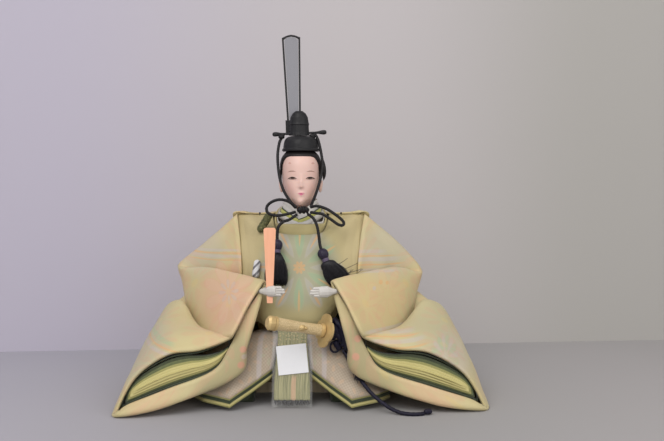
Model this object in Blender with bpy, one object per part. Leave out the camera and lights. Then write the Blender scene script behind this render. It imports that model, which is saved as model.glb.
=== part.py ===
# Seated court doll in a layered silk robe: padded body, lift-out head, cap with
# an upright tail, baton, sword, sash, and knotted cords.
# Metres, +Z up. The doll faces -Y, its right hand is at -X, and the origin is
# on the surface it stands on, under the middle of the neck.

import math

import bmesh
import bpy
import numpy as np
from mathutils import Matrix, Vector
from mathutils.bvhtree import BVHTree

# Cloth and clearances
CLEARANCE = 0.0004
ROBE_CLOTH = 0.0012
LINING_CLOTH = 0.0009
CUFF_CLOTH = 0.0012
CUFF_GAP = 0.0009
CUFF_DEPTH = 0.0100
CUFF_TIP_LENGTH = 0.0150
CUFF_STEP_BACK = 0.0006
FLOOR_LIFT = 0.0010
FOLD_PASSES = 4
CROSSING_PASSES = 10
THINNEST_CLOTH = 0.0002
FOLD_LIMIT_SHARE = 0.35
FOLD_THINNING_SHARE = 0.65
RIGHT = -1
LEFT = 1

# Robe: half its width at the sleeve tips, its reach to the front, and the
# height of the shoulder line. Every robe outline is written in shares of these.
HALF_SPAN = 0.150
REACH = 0.100
SHOULDER = 0.160
SHOULDER_SPAN_SHARE = 0.38
TIP_SPREAD_SHARE = {RIGHT: 0.0, LEFT: 0.105}
TIP_DRAW_BACK_SHARE = {RIGHT: 0.0, LEFT: 0.22}
ELBOW_SHIFT_SHARE = {RIGHT: (0.0, 0.0, 0.0), LEFT: (-0.040, 0.0, -0.032)}

# Board and straw core
BASE_WIDTH = 0.096
BASE_DEPTH = 0.084
BASE_THICK = 0.009
BASE_CENTRE_Y = 0.022
BASE_CORNER = 0.008
CORE_HALF_WIDTH = 0.038
CORE_HALF_DEPTH = 0.029
CORE_CENTRE_Y = 0.008
CORE_BELOW_SHOULDER = 0.014
CORE_TOP = SHOULDER - CORE_BELOW_SHOULDER
STICK_RADIUS = 0.003
STICK_CLEARANCE = 0.0004
STICK_BOTTOM = 0.092
STICK_IN_HEAD = 0.012

# Arms and hands
ARM_RADIUS = 0.0023
WIRE_RADIUS = 0.0011
HAND_LENGTH = 0.023
HAND_HEIGHT = 0.0095
HAND_THICK = 0.0062
FINGER_RADIUS = 0.0013

# Head
NECK_RADIUS = 0.0088
FACE_HALF_WIDTH = 0.0172
FACE_FRONT = 0.0218
HEAD_BACK = 0.0200
CHIN_ABOVE_SHOULDER = 0.0055
CHIN_HEIGHT = SHOULDER + CHIN_ABOVE_SHOULDER
HEAD_HEIGHT = 0.0545
EAR_HEIGHT = 0.0105
HAIR_THICK = 0.0016

# Cap, topknot cover, hairpin and tail
CAP_HALF_WIDTH = 0.0158
CAP_HALF_DEPTH = 0.0172
CAP_OVER_HEAD = 0.0065
CAP_BOTTOM = CHIN_HEIGHT + HEAD_HEIGHT - CAP_OVER_HEAD
CAP_HEIGHT = 0.0140
CAP_WALL = 0.0010
CAP_CENTRE_Y = 0.0005
TOPKNOT_HALF_WIDTH = 0.0089
TOPKNOT_HALF_DEPTH = 0.0068
TOPKNOT_HEIGHT = 0.0225
TOPKNOT_Y = 0.0020
PIN_RADIUS = 0.0011
PIN_HALF_LENGTH = 0.0235
PIN_KNOB_RADIUS = 0.0029
PIN_ABOVE_CAP = 0.0028
TAIL_LENGTH = 0.0885
TAIL_X = -0.0060
TAIL_LEAN_SHARE = 0.035
TOPKNOT_X = -0.0015
TAIL_TOP_HALF_WIDTH = 0.0084
TAIL_FOOT_HALF_WIDTH = 0.0060
TAIL_THICK = 0.0014
TAIL_RIM = 0.0017
GAUZE_THICK = 0.0006
SOCKET_DEPTH = 0.0130
SOCKET_WALL = 0.0012

# Cords and tassels of the cap
CORD_RADIUS = 0.0012
BOW_KNOT_HALF_WIDTH = 0.0050
TASSEL_HEAD_RADIUS = 0.0042
RIGHT_TASSEL_LENGTH = 0.0370
LEFT_TASSEL_LENGTH = 0.0310
TASSEL_LENGTH = {RIGHT: RIGHT_TASSEL_LENGTH, LEFT: LEFT_TASSEL_LENGTH}
TASSEL_LEAN_SHARE = {RIGHT: (-.02, -.26, -1.0), LEFT: (.37, -.13, -.90)}
TASSEL_FOOT_RADIUS = 0.0078
TASSEL_FLATNESS_SHARE = 0.40

# Round collar and inner collars
NECK_OPENING_SHARE = .166
COLLAR_EASE = 0.0013
COLLAR_HALF_WIDTH = HALF_SPAN * NECK_OPENING_SHARE - COLLAR_EASE
COLLAR_HALF_DEPTH = 0.0219
COLLAR_CENTRE_Y = -0.0036
COLLAR_HEIGHT = 0.0100
COLLAR_THICK = 0.0022
INNER_COLLAR_HEIGHT = 0.0070
INNER_COLLAR_THICK = 0.0009
INNER_COLLAR_INSET = 0.0044
INNER_COLLAR_STEP = 0.0026
INNER_COLLAR_SEAT = 0.0030
INNER_COLLAR_LIFT = 0.0005
TOGGLE_RADIUS = 0.0038
CHEST_TAB_RADIUS = 0.0034

# Trouser panels
PANEL_THICK = 0.0018
PANEL_DROP = 0.0032

# Baton
BATON_LENGTH = 0.0620
BATON_TOP_WIDTH = 0.0100
BATON_FOOT_WIDTH = 0.0046
BATON_THICK = 0.0014
BATON_BELOW_HAND = 0.0050

# Sword
HILT_LENGTH = 0.0500
HILT_HALF_HEIGHT = 0.0052
HILT_HALF_THICK = 0.0036
POMMEL_LENGTH = 0.0060
GUARD_RADIUS = 0.0140
GUARD_THICK = 0.0018
SCABBARD_SHARE = 0.65 / 3
SCABBARD_LENGTH = HALF_SPAN * SCABBARD_SHARE
SCABBARD_HALF_HEIGHT = 0.0042
SCABBARD_HALF_THICK = 0.0030

# Sash in its clear sleeve
SASH_WIDTH = 0.0215
SASH_LENGTH = 0.0585
SASH_THICK = 0.0012
FRINGE_LENGTH = 0.0045
CLEAR_SLEEVE_SHARE = 0.22
SLEEVE_WIDTH = HALF_SPAN * CLEAR_SLEEVE_SHARE
SLEEVE_LENGTH = 0.0640
SLEEVE_INNER_DEPTH = 0.0034
SLEEVE_WALL = 0.0005
CARD_WIDTH = 0.0250
CARD_HEIGHT = 0.0240
CARD_THICK = 0.0005
CARD_TILT_DEGREES = 6.0
CARD_DROP = 0.0250

# Navy cord
NAVY_RADIUS = 0.0014
NAVY_KNOB_LENGTH = 0.0060
NAVY_KNOB_RADIUS = 0.0023

# Sleeve rings from the armhole to the cuff, each from the top fold down the
# outer sheet to the hem and back up the inner sheet. Columns are outward,
# forward (negative) and up.
SLEEVE_SHARES = [
    [(.379, .00, .98), (.365, .22, .94), (.347, .38, .81), (.347, .44, .67), (.350, .49, .52),
     (.360, .54, .36), (.368, .60, .20), (.380, .66, .01), (.373, .54, .01), (.360, .34, .17),
     (.342, .00, .33), (.334, -.30, .64), (.346, -.23, .81), (.371, -.08, .945)],
    [(.560, .04, .83), (.560, .20, .78), (.560, .34, .67), (.563, .38, .57), (.586, .42, .51),
     (.653, .48, .39), (.690, .54, .21), (.650, .58, .01), (.533, .48, .01), (.480, .34, .19),
     (.413, .16, .36), (.400, -.14, .53), (.480, -.14, .67), (.512, -.04, .775)],
    [(.740, .08, .688), (.730, .14, .63), (.704, .09, .57), (.738, .09, .56), (.768, .11, .55),
     (.813, .22, .43), (.880, .30, .22), (.853, .36, .01), (.706, .30, .01), (.600, .26, .20),
     (.460, .08, .38), (.480, .00, .47), (.547, -.02, .59), (.627, .02, .64)],
    [(.573, -.12, .681), (.607, -.20, .53), (.620, -.27, .355), (.658, -.22, .41), (.706, -.14, .50),
     (.827, -.11, .42), (.920, -.14, .23), (.933, -.12, .01), (.760, -.12, .01), (.613, -.18, .20),
     (.400, -.28, .40), (.413, -.28, .46), (.453, -.24, .58), (.513, -.12, .65)],
    [(.387, -.40, .669), (.447, -.54, .53), (.527, -.54, .35), (.572, -.475, .385), (.627, -.49, .43),
     (.787, -.50, .38), (.913, -.50, .23), (.967, -.50, .01), (.780, -.60, .01), (.613, -.62, .17),
     (.347, -.62, .34), (.320, -.58, .43), (.333, -.52, .56), (.333, -.40, .63)],
    [(.250, -.60, .656), (.323, -.71, .55), (.425, -.79, .38), (.467, -.755, .39), (.580, -.79, .39),
     (.733, -.79, .35), (.887, -.80, .22), (.985, -.88, .01), (.925, -1.06, .01), (.680, -1.0, .055),
     (.307, -.86, .185), (.262, -.84, .31), (.207, -.69, .50), (.207, -.57, .61)],
    [(.200, -.68, .644), (.273, -.81, .54), (.340, -.90, .415), (.377, -.89, .375), (.527, -.94, .328),
     (.693, -.97, .308), (.867, -.99, .193), (.960, -1.03, .018), (.888, -1.04, .060), (.687, -1.0, .13),
     (.453, -.93, .21), (.360, -.85, .325), (.227, -.71, .50), (.183, -.62, .60)],
]
ELBOW_RING = 2
ELBOW_COLUMNS = (0, 1, 2, 12, 13)
SLEEVE_STEPS_ALONG = 2
SLEEVE_STEPS_ROUND = 2

# Robe body, from the neck edge to the hem. The front goes from the middle to
# the side seam, the back likewise.
FRONT_SHARES = [
    [(.000, -.280, .878), (.071, -.258, .893), (.131, -.190, .925), (.166, -.050, .972)],
    [(.000, -.312, .850), (.090, -.295, .868), (.178, -.215, .915), (.267, -.030, .979)],
    [(.000, -.342, .806), (.115, -.328, .825), (.240, -.235, .888), (.367, -.020, .978)],
    [(.000, -.380, .750), (.120, -.365, .756), (.233, -.300, .775), (.330, -.225, .813)],
    [(.000, -.440, .650), (.120, -.425, .650), (.240, -.365, .656), (.320, -.295, .663)],
    [(.000, -.510, .550), (.120, -.495, .550), (.227, -.430, .550), (.280, -.340, .550)],
    [(.000, -.550, .450), (.107, -.540, .444), (.173, -.500, .444), (.213, -.410, .450)],
    [(.000, -.520, .394), (.093, -.510, .394), (.160, -.470, .400), (.200, -.390, .413)],
]
BACK_SHARES = [
    [(.000, .205, .994), (.064, .185, .994), (.129, .118, .991), (.166, .005, .984)],
    [(.000, .270, .981), (.107, .260, .981), (.200, .190, .981), (.267, .040, .984)],
    [(.000, .340, .938), (.133, .340, .938), (.267, .270, .944), (.367, .030, .981)],
    [(.000, .420, .813), (.133, .420, .813), (.253, .400, .813), (.327, .350, .813)],
    [(.000, .470, .625), (.133, .470, .625), (.253, .460, .625), (.330, .430, .625)],
    [(.000, .540, .375), (.147, .540, .375), (.267, .530, .375), (.337, .510, .375)],
    [(.000, .660, .150), (.160, .660, .150), (.273, .640, .150), (.340, .600, .150)],
    [(.000, .800, .008), (.173, .790, .008), (.287, .750, .008), (.345, .680, .008)],
]
FRONT_LEAN_SHARES = [.0, .0, .0, .0, .0, -.013, -.027, -.027]

# Trouser panel over each knee: rows from the waist to the front edge, each
# from the inner edge outward.
PANEL_SHARES = [
    [(.041, -.242, .360), (.200, -.26, .370), (.333, -.26, .320), (.440, -.22, .235), (.520, -.16, .150)],
    [(.107, -.52, .335), (.213, -.54, .350), (.333, -.54, .305), (.453, -.48, .220), (.547, -.36, .135)],
    [(.127, -.62, .260), (.233, -.68, .240), (.353, -.72, .200), (.480, -.64, .150), (.573, -.50, .105)],
    [(.140, -.66, .195), (.253, -.78, .130), (.367, -.89, .070), (.520, -.78, .085), (.587, -.58, .075)],
]
PANEL_INWARD_SHIFT_SHARE = {RIGHT: 0.0, LEFT: -0.073}
PANEL_STEPS = 2

# Folded layers inside the cuff: the sleeve's grid columns above and below the
# mouth, and how the layers narrow towards the back
CUFF_UPPER_COLUMNS = (6, 7, 8, 9, 10, 11, 12, 13)
CUFF_LOWER_COLUMNS = (22, 21, 20, 19, 18, 17, 16, 15)
CUFF_SAMPLES = 60
CUFF_CROWDING_SHARE = 0.30
CUFF_SLANT_SHARE = 1.35
CUFF_NARROWING_SHARE = 0.12

# Arm: its root at the shoulder, the sleeve columns it runs midway between,
# and the wrist
ARM_ROOT_SHARE = (.2055, .04, .860)
ARM_UPPER_COLUMN = 1
ARM_LOWER_COLUMNS = (12, 11, 11, 12, 12, 13)
WRIST_SHARE = (.215, -.690, .600)
HAND_TIP_SHARE = {RIGHT: (.087, -.775, .607), LEFT: (.083, -.760, .600)}

# Waist place of the sash, and the sword's guard and direction
SASH_HINGE_SHARE = (-.033, -.615, .395)
SASH_LEAN_DEGREES = 14.0
GUARD_PLACE_SHARE = (.147, -.740, .400)
SWORD_DIRECTION = (.80, .56, -.21)

# Cord routes, chosen by hand
CHIN_CORD_RIGHT_ROUTE = [
    (-.0150, .0010, .2270), (-.0178, -.0020, .2220), (-.0200, -.0062, .2130), (-.0208, -.0090, .2020),
    (-.0203, -.0120, .1900), (-.0172, -.0180, .1780), (-.0120, -.0240, .1690), (-.0050, -.0288, .1645),
]
CHIN_CORD_LEFT_ROUTE = [
    (.0120, .0010, .2270), (.0160, -.0020, .2215), (.0186, -.0062, .2125), (.0203, -.0090, .2000),
    (.0200, -.0120, .1890), (.0172, -.0180, .1770), (.0140, -.0240, .1690), (.0106, -.0290, .1645),
]
BOW_LOOP_RIGHT_ROUTE = [
    (-.0036, -.0310, .1640), (-.0080, -.0330, .1685), (-.0150, -.0345, .1710), (-.0220, -.0350, .1700),
    (-.0275, -.0350, .1660), (-.0280, -.0355, .1610), (-.0240, -.0360, .1580), (-.0170, -.0360, .1575),
    (-.0090, -.0355, .1590), (-.0036, -.0340, .1604),
]
BOW_LOOP_LEFT_ROUTE = [
    (.0096, -.0310, .1645), (.0150, -.0335, .1655), (.0230, -.0350, .1630), (.0310, -.0365, .1580),
    (.0375, -.0375, .1520), (.0360, -.0385, .1488), (.0300, -.0385, .1510), (.0230, -.0380, .1555),
    (.0150, -.0365, .1592), (.0096, -.0345, .1602),
]
CORD_END_RIGHT_ROUTE = [
    (-.0022, -.0347, .1582), (-.0080, -.0376, .1543), (-.0140, -.0392, .1520), (-.0178, -.0402, .1480),
    (-.0188, -.0408, .1420), (-.0188, -.0415, .1370),
]
CORD_END_LEFT_ROUTE = [
    (.0072, -.0343, .1585), (.0120, -.0375, .1550), (.0150, -.0392, .1490), (.0166, -.0402, .1410),
    (.0176, -.0412, .1330), (.0186, -.0420, .1290),
]
NAVY_CORD_ROUTE = [
    (.0370, -.0688, .0472), (.0390, -.0700, .0446), (.0412, -.0718, .0405), (.0440, -.0742, .0350),
    (.0478, -.0778, .0295),
    (.0515, -.0818, .0248), (.0552, -.0855, .0205), (.0590, -.0885, .0165), (.0640, -.0905, .0120),
    (.0695, -.0925, .0080), (.0755, -.0948, .0045), (.0825, -.0980, .0022), (.0895, -.1004, .0016),
    (.0960, -.1005, .0015), (.1015, -.0985, .0015),
]
CORD_STEPS = 2


def material(name, colour, roughness, metallic=0.0):
    """Plain principled material of a piece."""
    made = bpy.data.materials.new(name)
    made.use_nodes = True
    shader = made.node_tree.nodes["Principled BSDF"]
    shader.inputs["Base Color"].default_value = (*colour, 1.0)
    shader.inputs["Roughness"].default_value = roughness
    shader.inputs["Metallic"].default_value = metallic
    return made


def clear_scene():
    for old in list(bpy.data.objects):
        bpy.data.objects.remove(old, do_unlink=True)


def make_materials():
    return {
        "silk": material("cream_silk", (.74, .62, .40), .75),
        "collar": material("olive_cream_silk", (.60, .54, .32), .75),
        "dark": material("dark_green_silk", (.035, .055, .03), .7),
        "green": material("green_silk", (.22, .27, .09), .7),
        "lime": material("lime_silk", (.62, .62, .24), .7),
        "white": material("white_silk", (.80, .80, .76), .7),
        "panel": material("grey_beige_weave", (.56, .50, .42), .8),
        "braid": material("olive_braid", (.16, .17, .06), .75),
        "skin": material("shell_white_skin", (.88, .72, .64), .35),
        "hair": material("black_hair", (.012, .010, .009), .5),
        "lacquer": material("black_gauze_lacquer", (.015, .015, .016), .45),
        "gauze": material("grey_gauze", (.30, .32, .36), .8),
        "cord": material("black_cord", (.012, .012, .014), .55),
        "navy": material("navy_cord", (.012, .010, .045), .6),
        "wood": material("baton_wood", (.84, .45, .27), .5),
        "board": material("board_wood", (.55, .44, .28), .8),
        "straw": material("straw", (.62, .50, .26), .9),
        "paper": material("wrapping_paper", (.78, .74, .66), .9),
        "ivory": material("ivory_lacquer", (.78, .66, .44), .35),
        "gold": material("pale_gold", (.72, .52, .24), .35, .8),
        "sash": material("olive_brocade", (.28, .27, .11), .75),
        "film": material("clear_film", (.85, .86, .84), .1),
        "card": material("white_card", (.86, .86, .86), .6),
    }


def robe_points(shares, side=LEFT, spread=0.0, back=0.0):
    """Robe shares as places. The tips of one side spread and draw back a
    little more, which grows from the shoulder to the tip."""
    places = np.array(shares, dtype=float)
    outward = places[..., 0:1]
    grown = outward * (1.0 + spread * np.maximum(abs(outward) - SHOULDER_SPAN_SHARE, 0.0))
    drawn = places[..., 1:2] * (1.0 - back * outward * outward)
    scaled = np.concatenate([grown * side * HALF_SPAN, drawn * REACH, places[..., 2:3] * SHOULDER], axis=-1)
    return scaled


def robe_place(share, side=LEFT):
    return robe_points([share], side)[0]


def smooth_along(points, steps, closed=False):
    """Catmull-Rom curve through the points of the first axis."""
    points = np.asarray(points, dtype=float)
    count = len(points)
    if closed:
        before, after = np.roll(points, 1, 0), np.roll(points, -1, 0)
        spans = count
        after_next = np.roll(points, -2, 0)
        ends = after
    else:
        first = 2 * points[:1] - points[1:2]
        last = 2 * points[-1:] - points[-2:-1]
        padded = np.concatenate([first, points, last])
        spans = count - 1
        before, points = padded[:spans], padded[1:1 + spans]
        ends, after_next = padded[2:2 + spans], padded[3:3 + spans]
    rows = []
    for step in range(steps):
        t = step / steps
        rows.append(0.5 * (2 * points + (ends - before) * t
                           + (2 * before - 5 * points + 4 * ends - after_next) * t ** 2
                           + (3 * points - before - 3 * ends + after_next) * t ** 3))
    curve = np.stack(rows, axis=1).reshape((spans * steps,) + points.shape[1:])
    if closed:
        return curve
    return np.concatenate([curve, padded[-2:-1]])


def smooth_grid(grid, steps_along, steps_round, closed=False):
    along = smooth_along(grid, steps_along)
    across = smooth_along(np.swapaxes(along, 0, 1), steps_round, closed)
    return np.swapaxes(across, 0, 1)


def grid_normals(grid, closed=False):
    """Unit normals of a grid of points, from the runs through each point."""
    along = np.gradient(grid, axis=0)
    if closed:
        across = np.roll(grid, -1, 1) - np.roll(grid, 1, 1)
    else:
        across = np.gradient(grid, axis=1)
    normals = np.cross(along, across)
    return normals / np.maximum(np.linalg.norm(normals, axis=-1, keepdims=True), 1e-12)


def inner_face(grid, thickness, closed, side):
    """Inner side of a cloth sheet. It is thinner where a fold is too tight for
    the full thickness, so that the two sides never cross."""
    normals = grid_normals(grid, closed) * side
    depth = np.full(grid.shape[:2], float(thickness))
    for _ in range(FOLD_PASSES):
        inner = grid - normals * depth[..., None]
        tight = np.zeros(grid.shape[:2], dtype=bool)
        for axis in (0, 1):
            outer_run = np.roll(grid, -1, axis) - grid
            inner_run = np.roll(inner, -1, axis) - inner
            turned = (outer_run * inner_run).sum(-1) < FOLD_LIMIT_SHARE * (outer_run ** 2).sum(-1)
            if axis == 0:
                turned[-1] = False
            elif not closed:
                turned[:, -1] = False
            tight |= turned | np.roll(turned, 1, axis)
        depth = np.where(tight, depth * FOLD_THINNING_SHARE, depth)
    rows, columns = grid.shape[:2]
    triangles = shell_faces(rows, columns, closed)
    for _ in range(CROSSING_PASSES):
        inner = grid - normals * depth[..., None]
        crossed = crossed_corners(np.concatenate([grid.reshape(-1, 3), inner.reshape(-1, 3)]), triangles)
        if not crossed:
            break
        thinned = np.zeros(rows * columns, dtype=bool)
        thinned[[corner % (rows * columns) for corner in crossed]] = True
        thinned = thinned.reshape(rows, columns)
        depth = np.where(thinned, np.maximum(depth * FOLD_THINNING_SHARE, THINNEST_CLOTH), depth)
    return inner


def crossed_corners(vertices, faces):
    """Corners of all faces that cross another face they share no corner with."""
    tree = BVHTree.FromPolygons([tuple(v) for v in vertices], faces)
    crossed = set()
    for a, b in tree.overlap(tree):
        if a < b and not set(faces[a]) & set(faces[b]):
            crossed.update(faces[a])
            crossed.update(faces[b])
    return crossed


def face_outward(builder):
    builder.normal_update()
    bmesh.ops.recalc_face_normals(builder, faces=builder.faces)
    if builder.calc_volume(signed=True) < 0:
        bmesh.ops.reverse_faces(builder, faces=builder.faces)


def link_mesh(name, vertices, faces, finish, smooth_degrees=40):
    mesh = bpy.data.meshes.new(name)
    mesh.from_pydata([tuple(v) for v in vertices], [], faces)
    builder = bmesh.new()
    builder.from_mesh(mesh)
    face_outward(builder)
    builder.to_mesh(mesh)
    builder.free()
    mesh.shade_smooth()
    mesh.set_sharp_from_angle(angle=math.radians(smooth_degrees))
    mesh.materials.append(finish)
    made = bpy.data.objects.new(name, mesh)
    bpy.context.scene.collection.objects.link(made)
    return made


def shell_faces(rows, columns, closed, keep=None):
    """Faces of a sheet with two sides: the outer grid, the inner grid and a
    rim wherever a kept cell has no kept neighbour."""
    offset = rows * columns
    spans = columns if closed else columns - 1

    def kept(i, j):
        if not 0 <= i < rows - 1:
            return False
        if not closed and not 0 <= j < spans:
            return False
        return keep is None or keep(i, j % columns)

    faces = []
    for i in range(rows - 1):
        for j in range(spans):
            if not kept(i, j):
                continue
            k = (j + 1) % columns
            a, b = i * columns + j, i * columns + k
            c, d = (i + 1) * columns + k, (i + 1) * columns + j
            faces.append((a, b, c))
            faces.append((a, c, d))
            faces.append((a + offset, c + offset, b + offset))
            faces.append((a + offset, d + offset, c + offset))
            borders = [(kept(i - 1, j), a, b), (kept(i, j + 1), b, c),
                       (kept(i + 1, j), c, d), (kept(i, j - 1), d, a)]
            for neighbour, start, end in borders:
                if not neighbour:
                    faces.append((start, start + offset, end + offset, end))
    return faces


def sheet(name, grid, thickness, finish, closed=False, keep=None, side=1.0):
    """Closed solid of a cloth sheet: the grid is its outer face."""
    inner = inner_face(grid, thickness, closed, side)
    rows, columns = grid.shape[:2]
    vertices = np.concatenate([grid.reshape(-1, 3), inner.reshape(-1, 3)])
    faces = shell_faces(rows, columns, closed, keep)
    used = sorted({v for face in faces for v in face})
    places = {old: new for new, old in enumerate(used)}
    return link_mesh(name, vertices[used], [tuple(places[v] for v in face) for face in faces], finish)


def ring_solid(name, rings, finish, smooth_degrees=40):
    """Solid lofted through closed rings of equal count, capped at both ends."""
    rings = np.asarray(rings, dtype=float)
    count, around = rings.shape[:2]
    faces = [tuple(range(around)), tuple((count - 1) * around + j for j in range(around))[::-1]]
    for i in range(count - 1):
        for j in range(around):
            k = (j + 1) % around
            faces.append((i * around + j, (i + 1) * around + j, (i + 1) * around + k, i * around + k))
    return link_mesh(name, rings.reshape(-1, 3), faces, finish, smooth_degrees)


def ellipse(centre, half_width, front, back, height, sides):
    """Level ring whose front and back halves may have unlike depths."""
    ring = []
    for step in range(sides):
        angle = 2 * math.pi * step / sides
        depth = front if math.sin(angle) < 0 else back
        ring.append((centre[0] + half_width * math.cos(angle), centre[1] + depth * math.sin(angle), height))
    return ring


def turned_solid(name, profile, finish, place, axis=(0, 0, 1), sides=12):
    """Solid of revolution: the profile's points are (distance along the axis, radius)."""
    axis = np.array(axis, dtype=float)
    axis /= np.linalg.norm(axis)
    helper = np.array((1.0, 0.0, 0.0)) if abs(axis[0]) < 0.9 else np.array((0.0, 1.0, 0.0))
    u = np.cross(axis, helper)
    u /= np.linalg.norm(u)
    v = np.cross(axis, u)
    rings = []
    for along, radius in profile:
        centre = np.array(place) + axis * along
        rings.append([centre + radius * (u * math.cos(a) + v * math.sin(a))
                      for a in np.linspace(0, 2 * math.pi, sides, endpoint=False)])
    return ring_solid(name, rings, finish)


def turned_ring(name, profile, finish, place, axis, sides=16):
    """Ring of revolution whose profile goes round its section."""
    direction, u, v = frame_axes(axis)
    rings = []
    for along, radius in profile:
        centre = np.array(place) + direction * along
        rings.append([centre + radius * (u * math.cos(a) + v * math.sin(a))
                      for a in np.linspace(0, 2 * math.pi, sides, endpoint=False)])
    return link_mesh(name, np.array(rings).reshape(-1, 3), tube_faces(len(rings), sides), finish)


def tube(name, route, radius, finish, steps=CORD_STEPS):
    """Cord: a round bevel along a smooth curve through the route."""
    points = smooth_along(route, steps)
    curve = bpy.data.curves.new(name, "CURVE")
    curve.dimensions = "3D"
    curve.bevel_depth = radius
    curve.bevel_resolution = 2
    curve.use_fill_caps = True
    spline = curve.splines.new("POLY")
    spline.points.add(len(points) - 1)
    for target, point in zip(spline.points, points):
        target.co = (*point, 1.0)
    curve.materials.append(finish)
    made = bpy.data.objects.new(name, curve)
    bpy.context.scene.collection.objects.link(made)
    return made


def frame_axes(direction, up=(0.0, 0.0, 1.0)):
    """Right-handed axes with the first along the direction."""
    first = np.array(direction, dtype=float)
    first /= np.linalg.norm(first)
    second = np.cross(np.array(up), first)
    second /= np.linalg.norm(second)
    return first, second, np.cross(first, second)


def boolean(target, tool, operation):
    """Apply an exact Boolean and drop the tool."""
    modifier = target.modifiers.new(operation.lower(), "BOOLEAN")
    modifier.operation = operation
    modifier.solver = "EXACT"
    modifier.object = tool
    graph = bpy.context.evaluated_depsgraph_get()
    result = bpy.data.meshes.new_from_object(target.evaluated_get(graph))
    target.modifiers.remove(modifier)
    target.data = result
    bpy.data.objects.remove(tool, do_unlink=True)
    return target


def block(name, size, centre, axes, finish, corner=0.0):
    """Box on given axes, with its edges rounded where a corner is given."""
    mesh = bpy.data.meshes.new(name)
    builder = bmesh.new()
    bmesh.ops.create_cube(builder, size=1.0)
    for vertex in builder.verts:
        local = [vertex.co[i] * size[i] for i in range(3)]
        place = np.array(centre) + sum(np.array(axes[i]) * local[i] for i in range(3))
        vertex.co = place
    if corner:
        bmesh.ops.bevel(builder, geom=list(builder.edges), offset=corner, segments=2, affect="EDGES")
    face_outward(builder)
    builder.to_mesh(mesh)
    builder.free()
    mesh.materials.append(finish)
    made = bpy.data.objects.new(name, mesh)
    bpy.context.scene.collection.objects.link(made)
    return made


def extruded(name, outline, thickness, centre, axes, finish):
    """Plate: the outline lies on the first two axes, centred through the third."""
    first, second, third = (np.array(axis, dtype=float) for axis in axes)
    rings = []
    for offset in (-thickness / 2, thickness / 2):
        rings.append([np.array(centre) + first * x + second * y + third * offset for x, y in outline])
    return ring_solid(name, rings, finish)


def side_name(side):
    return "right" if side == RIGHT else "left"


# Base block, straw core and neck stick

def make_base_block(finish):
    centre = (0.0, BASE_CENTRE_Y, BASE_THICK / 2)
    axes = ((1, 0, 0), (0, 1, 0), (0, 0, 1))
    half_w, half_d = BASE_WIDTH / 2, BASE_DEPTH / 2
    cut = BASE_CORNER
    outline = [(-half_w + cut, -half_d), (half_w - cut, -half_d), (half_w, -half_d + cut), (half_w, half_d - cut),
               (half_w - cut, half_d), (-half_w + cut, half_d), (-half_w, half_d - cut), (-half_w, -half_d + cut)]
    return extruded("base_block", outline, BASE_THICK, centre, axes, finish)


CORE_TAPER_SHARES = [(0.0, 1.0, 1.0), (.38, 1.05, 1.12), (.72, 1.0, 1.05), (.90, .88, .80), (1.0, .70, .58)]


def make_straw_core(finish):
    bottom = BASE_THICK + CLEARANCE
    rings = []
    for rise, wide, deep in CORE_TAPER_SHARES:
        height = bottom + rise * (CORE_TOP - bottom)
        depth = deep * CORE_HALF_DEPTH
        rings.append(ellipse((0, CORE_CENTRE_Y), wide * CORE_HALF_WIDTH, depth, depth, height, 20))
    core = ring_solid("straw_core", rings, finish)
    hole_radius = STICK_RADIUS + STICK_CLEARANCE
    depth = CORE_TOP - STICK_BOTTOM + CLEARANCE
    profile = [(0, hole_radius), (depth * 2, hole_radius)]
    cutter = turned_solid("stick_hole", profile, finish, (0, 0, STICK_BOTTOM - CLEARANCE), sides=16)
    return boolean(core, cutter, "DIFFERENCE")


def make_neck_stick(finish):
    top = CORE_TOP + CLEARANCE + STICK_IN_HEAD
    length = top - STICK_BOTTOM
    point = STICK_RADIUS
    profile = [(0, STICK_RADIUS / 2), (point, STICK_RADIUS), (length, STICK_RADIUS)]
    return turned_solid("neck_stick", profile, finish, (0, 0, STICK_BOTTOM), sides=14)


# Arms and hands

def make_arm(side, finish):
    """Padded wire arm: thick along the sleeve, bare wire at the wrist."""
    midway = [(ring[ARM_UPPER_COLUMN] + ring[lower]) / 2
              for ring, lower in zip(sleeve_places(side), ARM_LOWER_COLUMNS)]
    route = smooth_along([robe_place(ARM_ROOT_SHARE, side)] + midway, 2)
    wrist = robe_place(WRIST_SHARE, side)
    bare = route[-1] + (wrist - route[-1]) / 8
    points = np.concatenate([route, [bare, wrist]])
    thick = [ARM_RADIUS] * len(route) + [WIRE_RADIUS] * 2
    tangents = np.gradient(points, axis=0)
    rings = []
    for point, tangent, radius in zip(points, tangents, thick):
        _, u, v = frame_axes(tangent)
        rings.append([point + radius * (u * math.cos(a) + v * math.sin(a))
                      for a in np.linspace(0, 2 * math.pi, 8, endpoint=False)])
    return ring_solid("arm_" + side_name(side), rings, finish)


HAND_PROFILE_SHARES = [(0.0, .42, .55), (.14, .55, .70), (.34, 1.0, 1.0), (.58, .96, .92), (.66, .80, .70)]


def hand_axes(side):
    root = robe_place(WRIST_SHARE, side)
    tip = robe_place(HAND_TIP_SHARE[side], side)
    along, across, up = frame_axes(tip - root)
    return root + along * 2 * CLEARANCE, along, across, up


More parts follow.
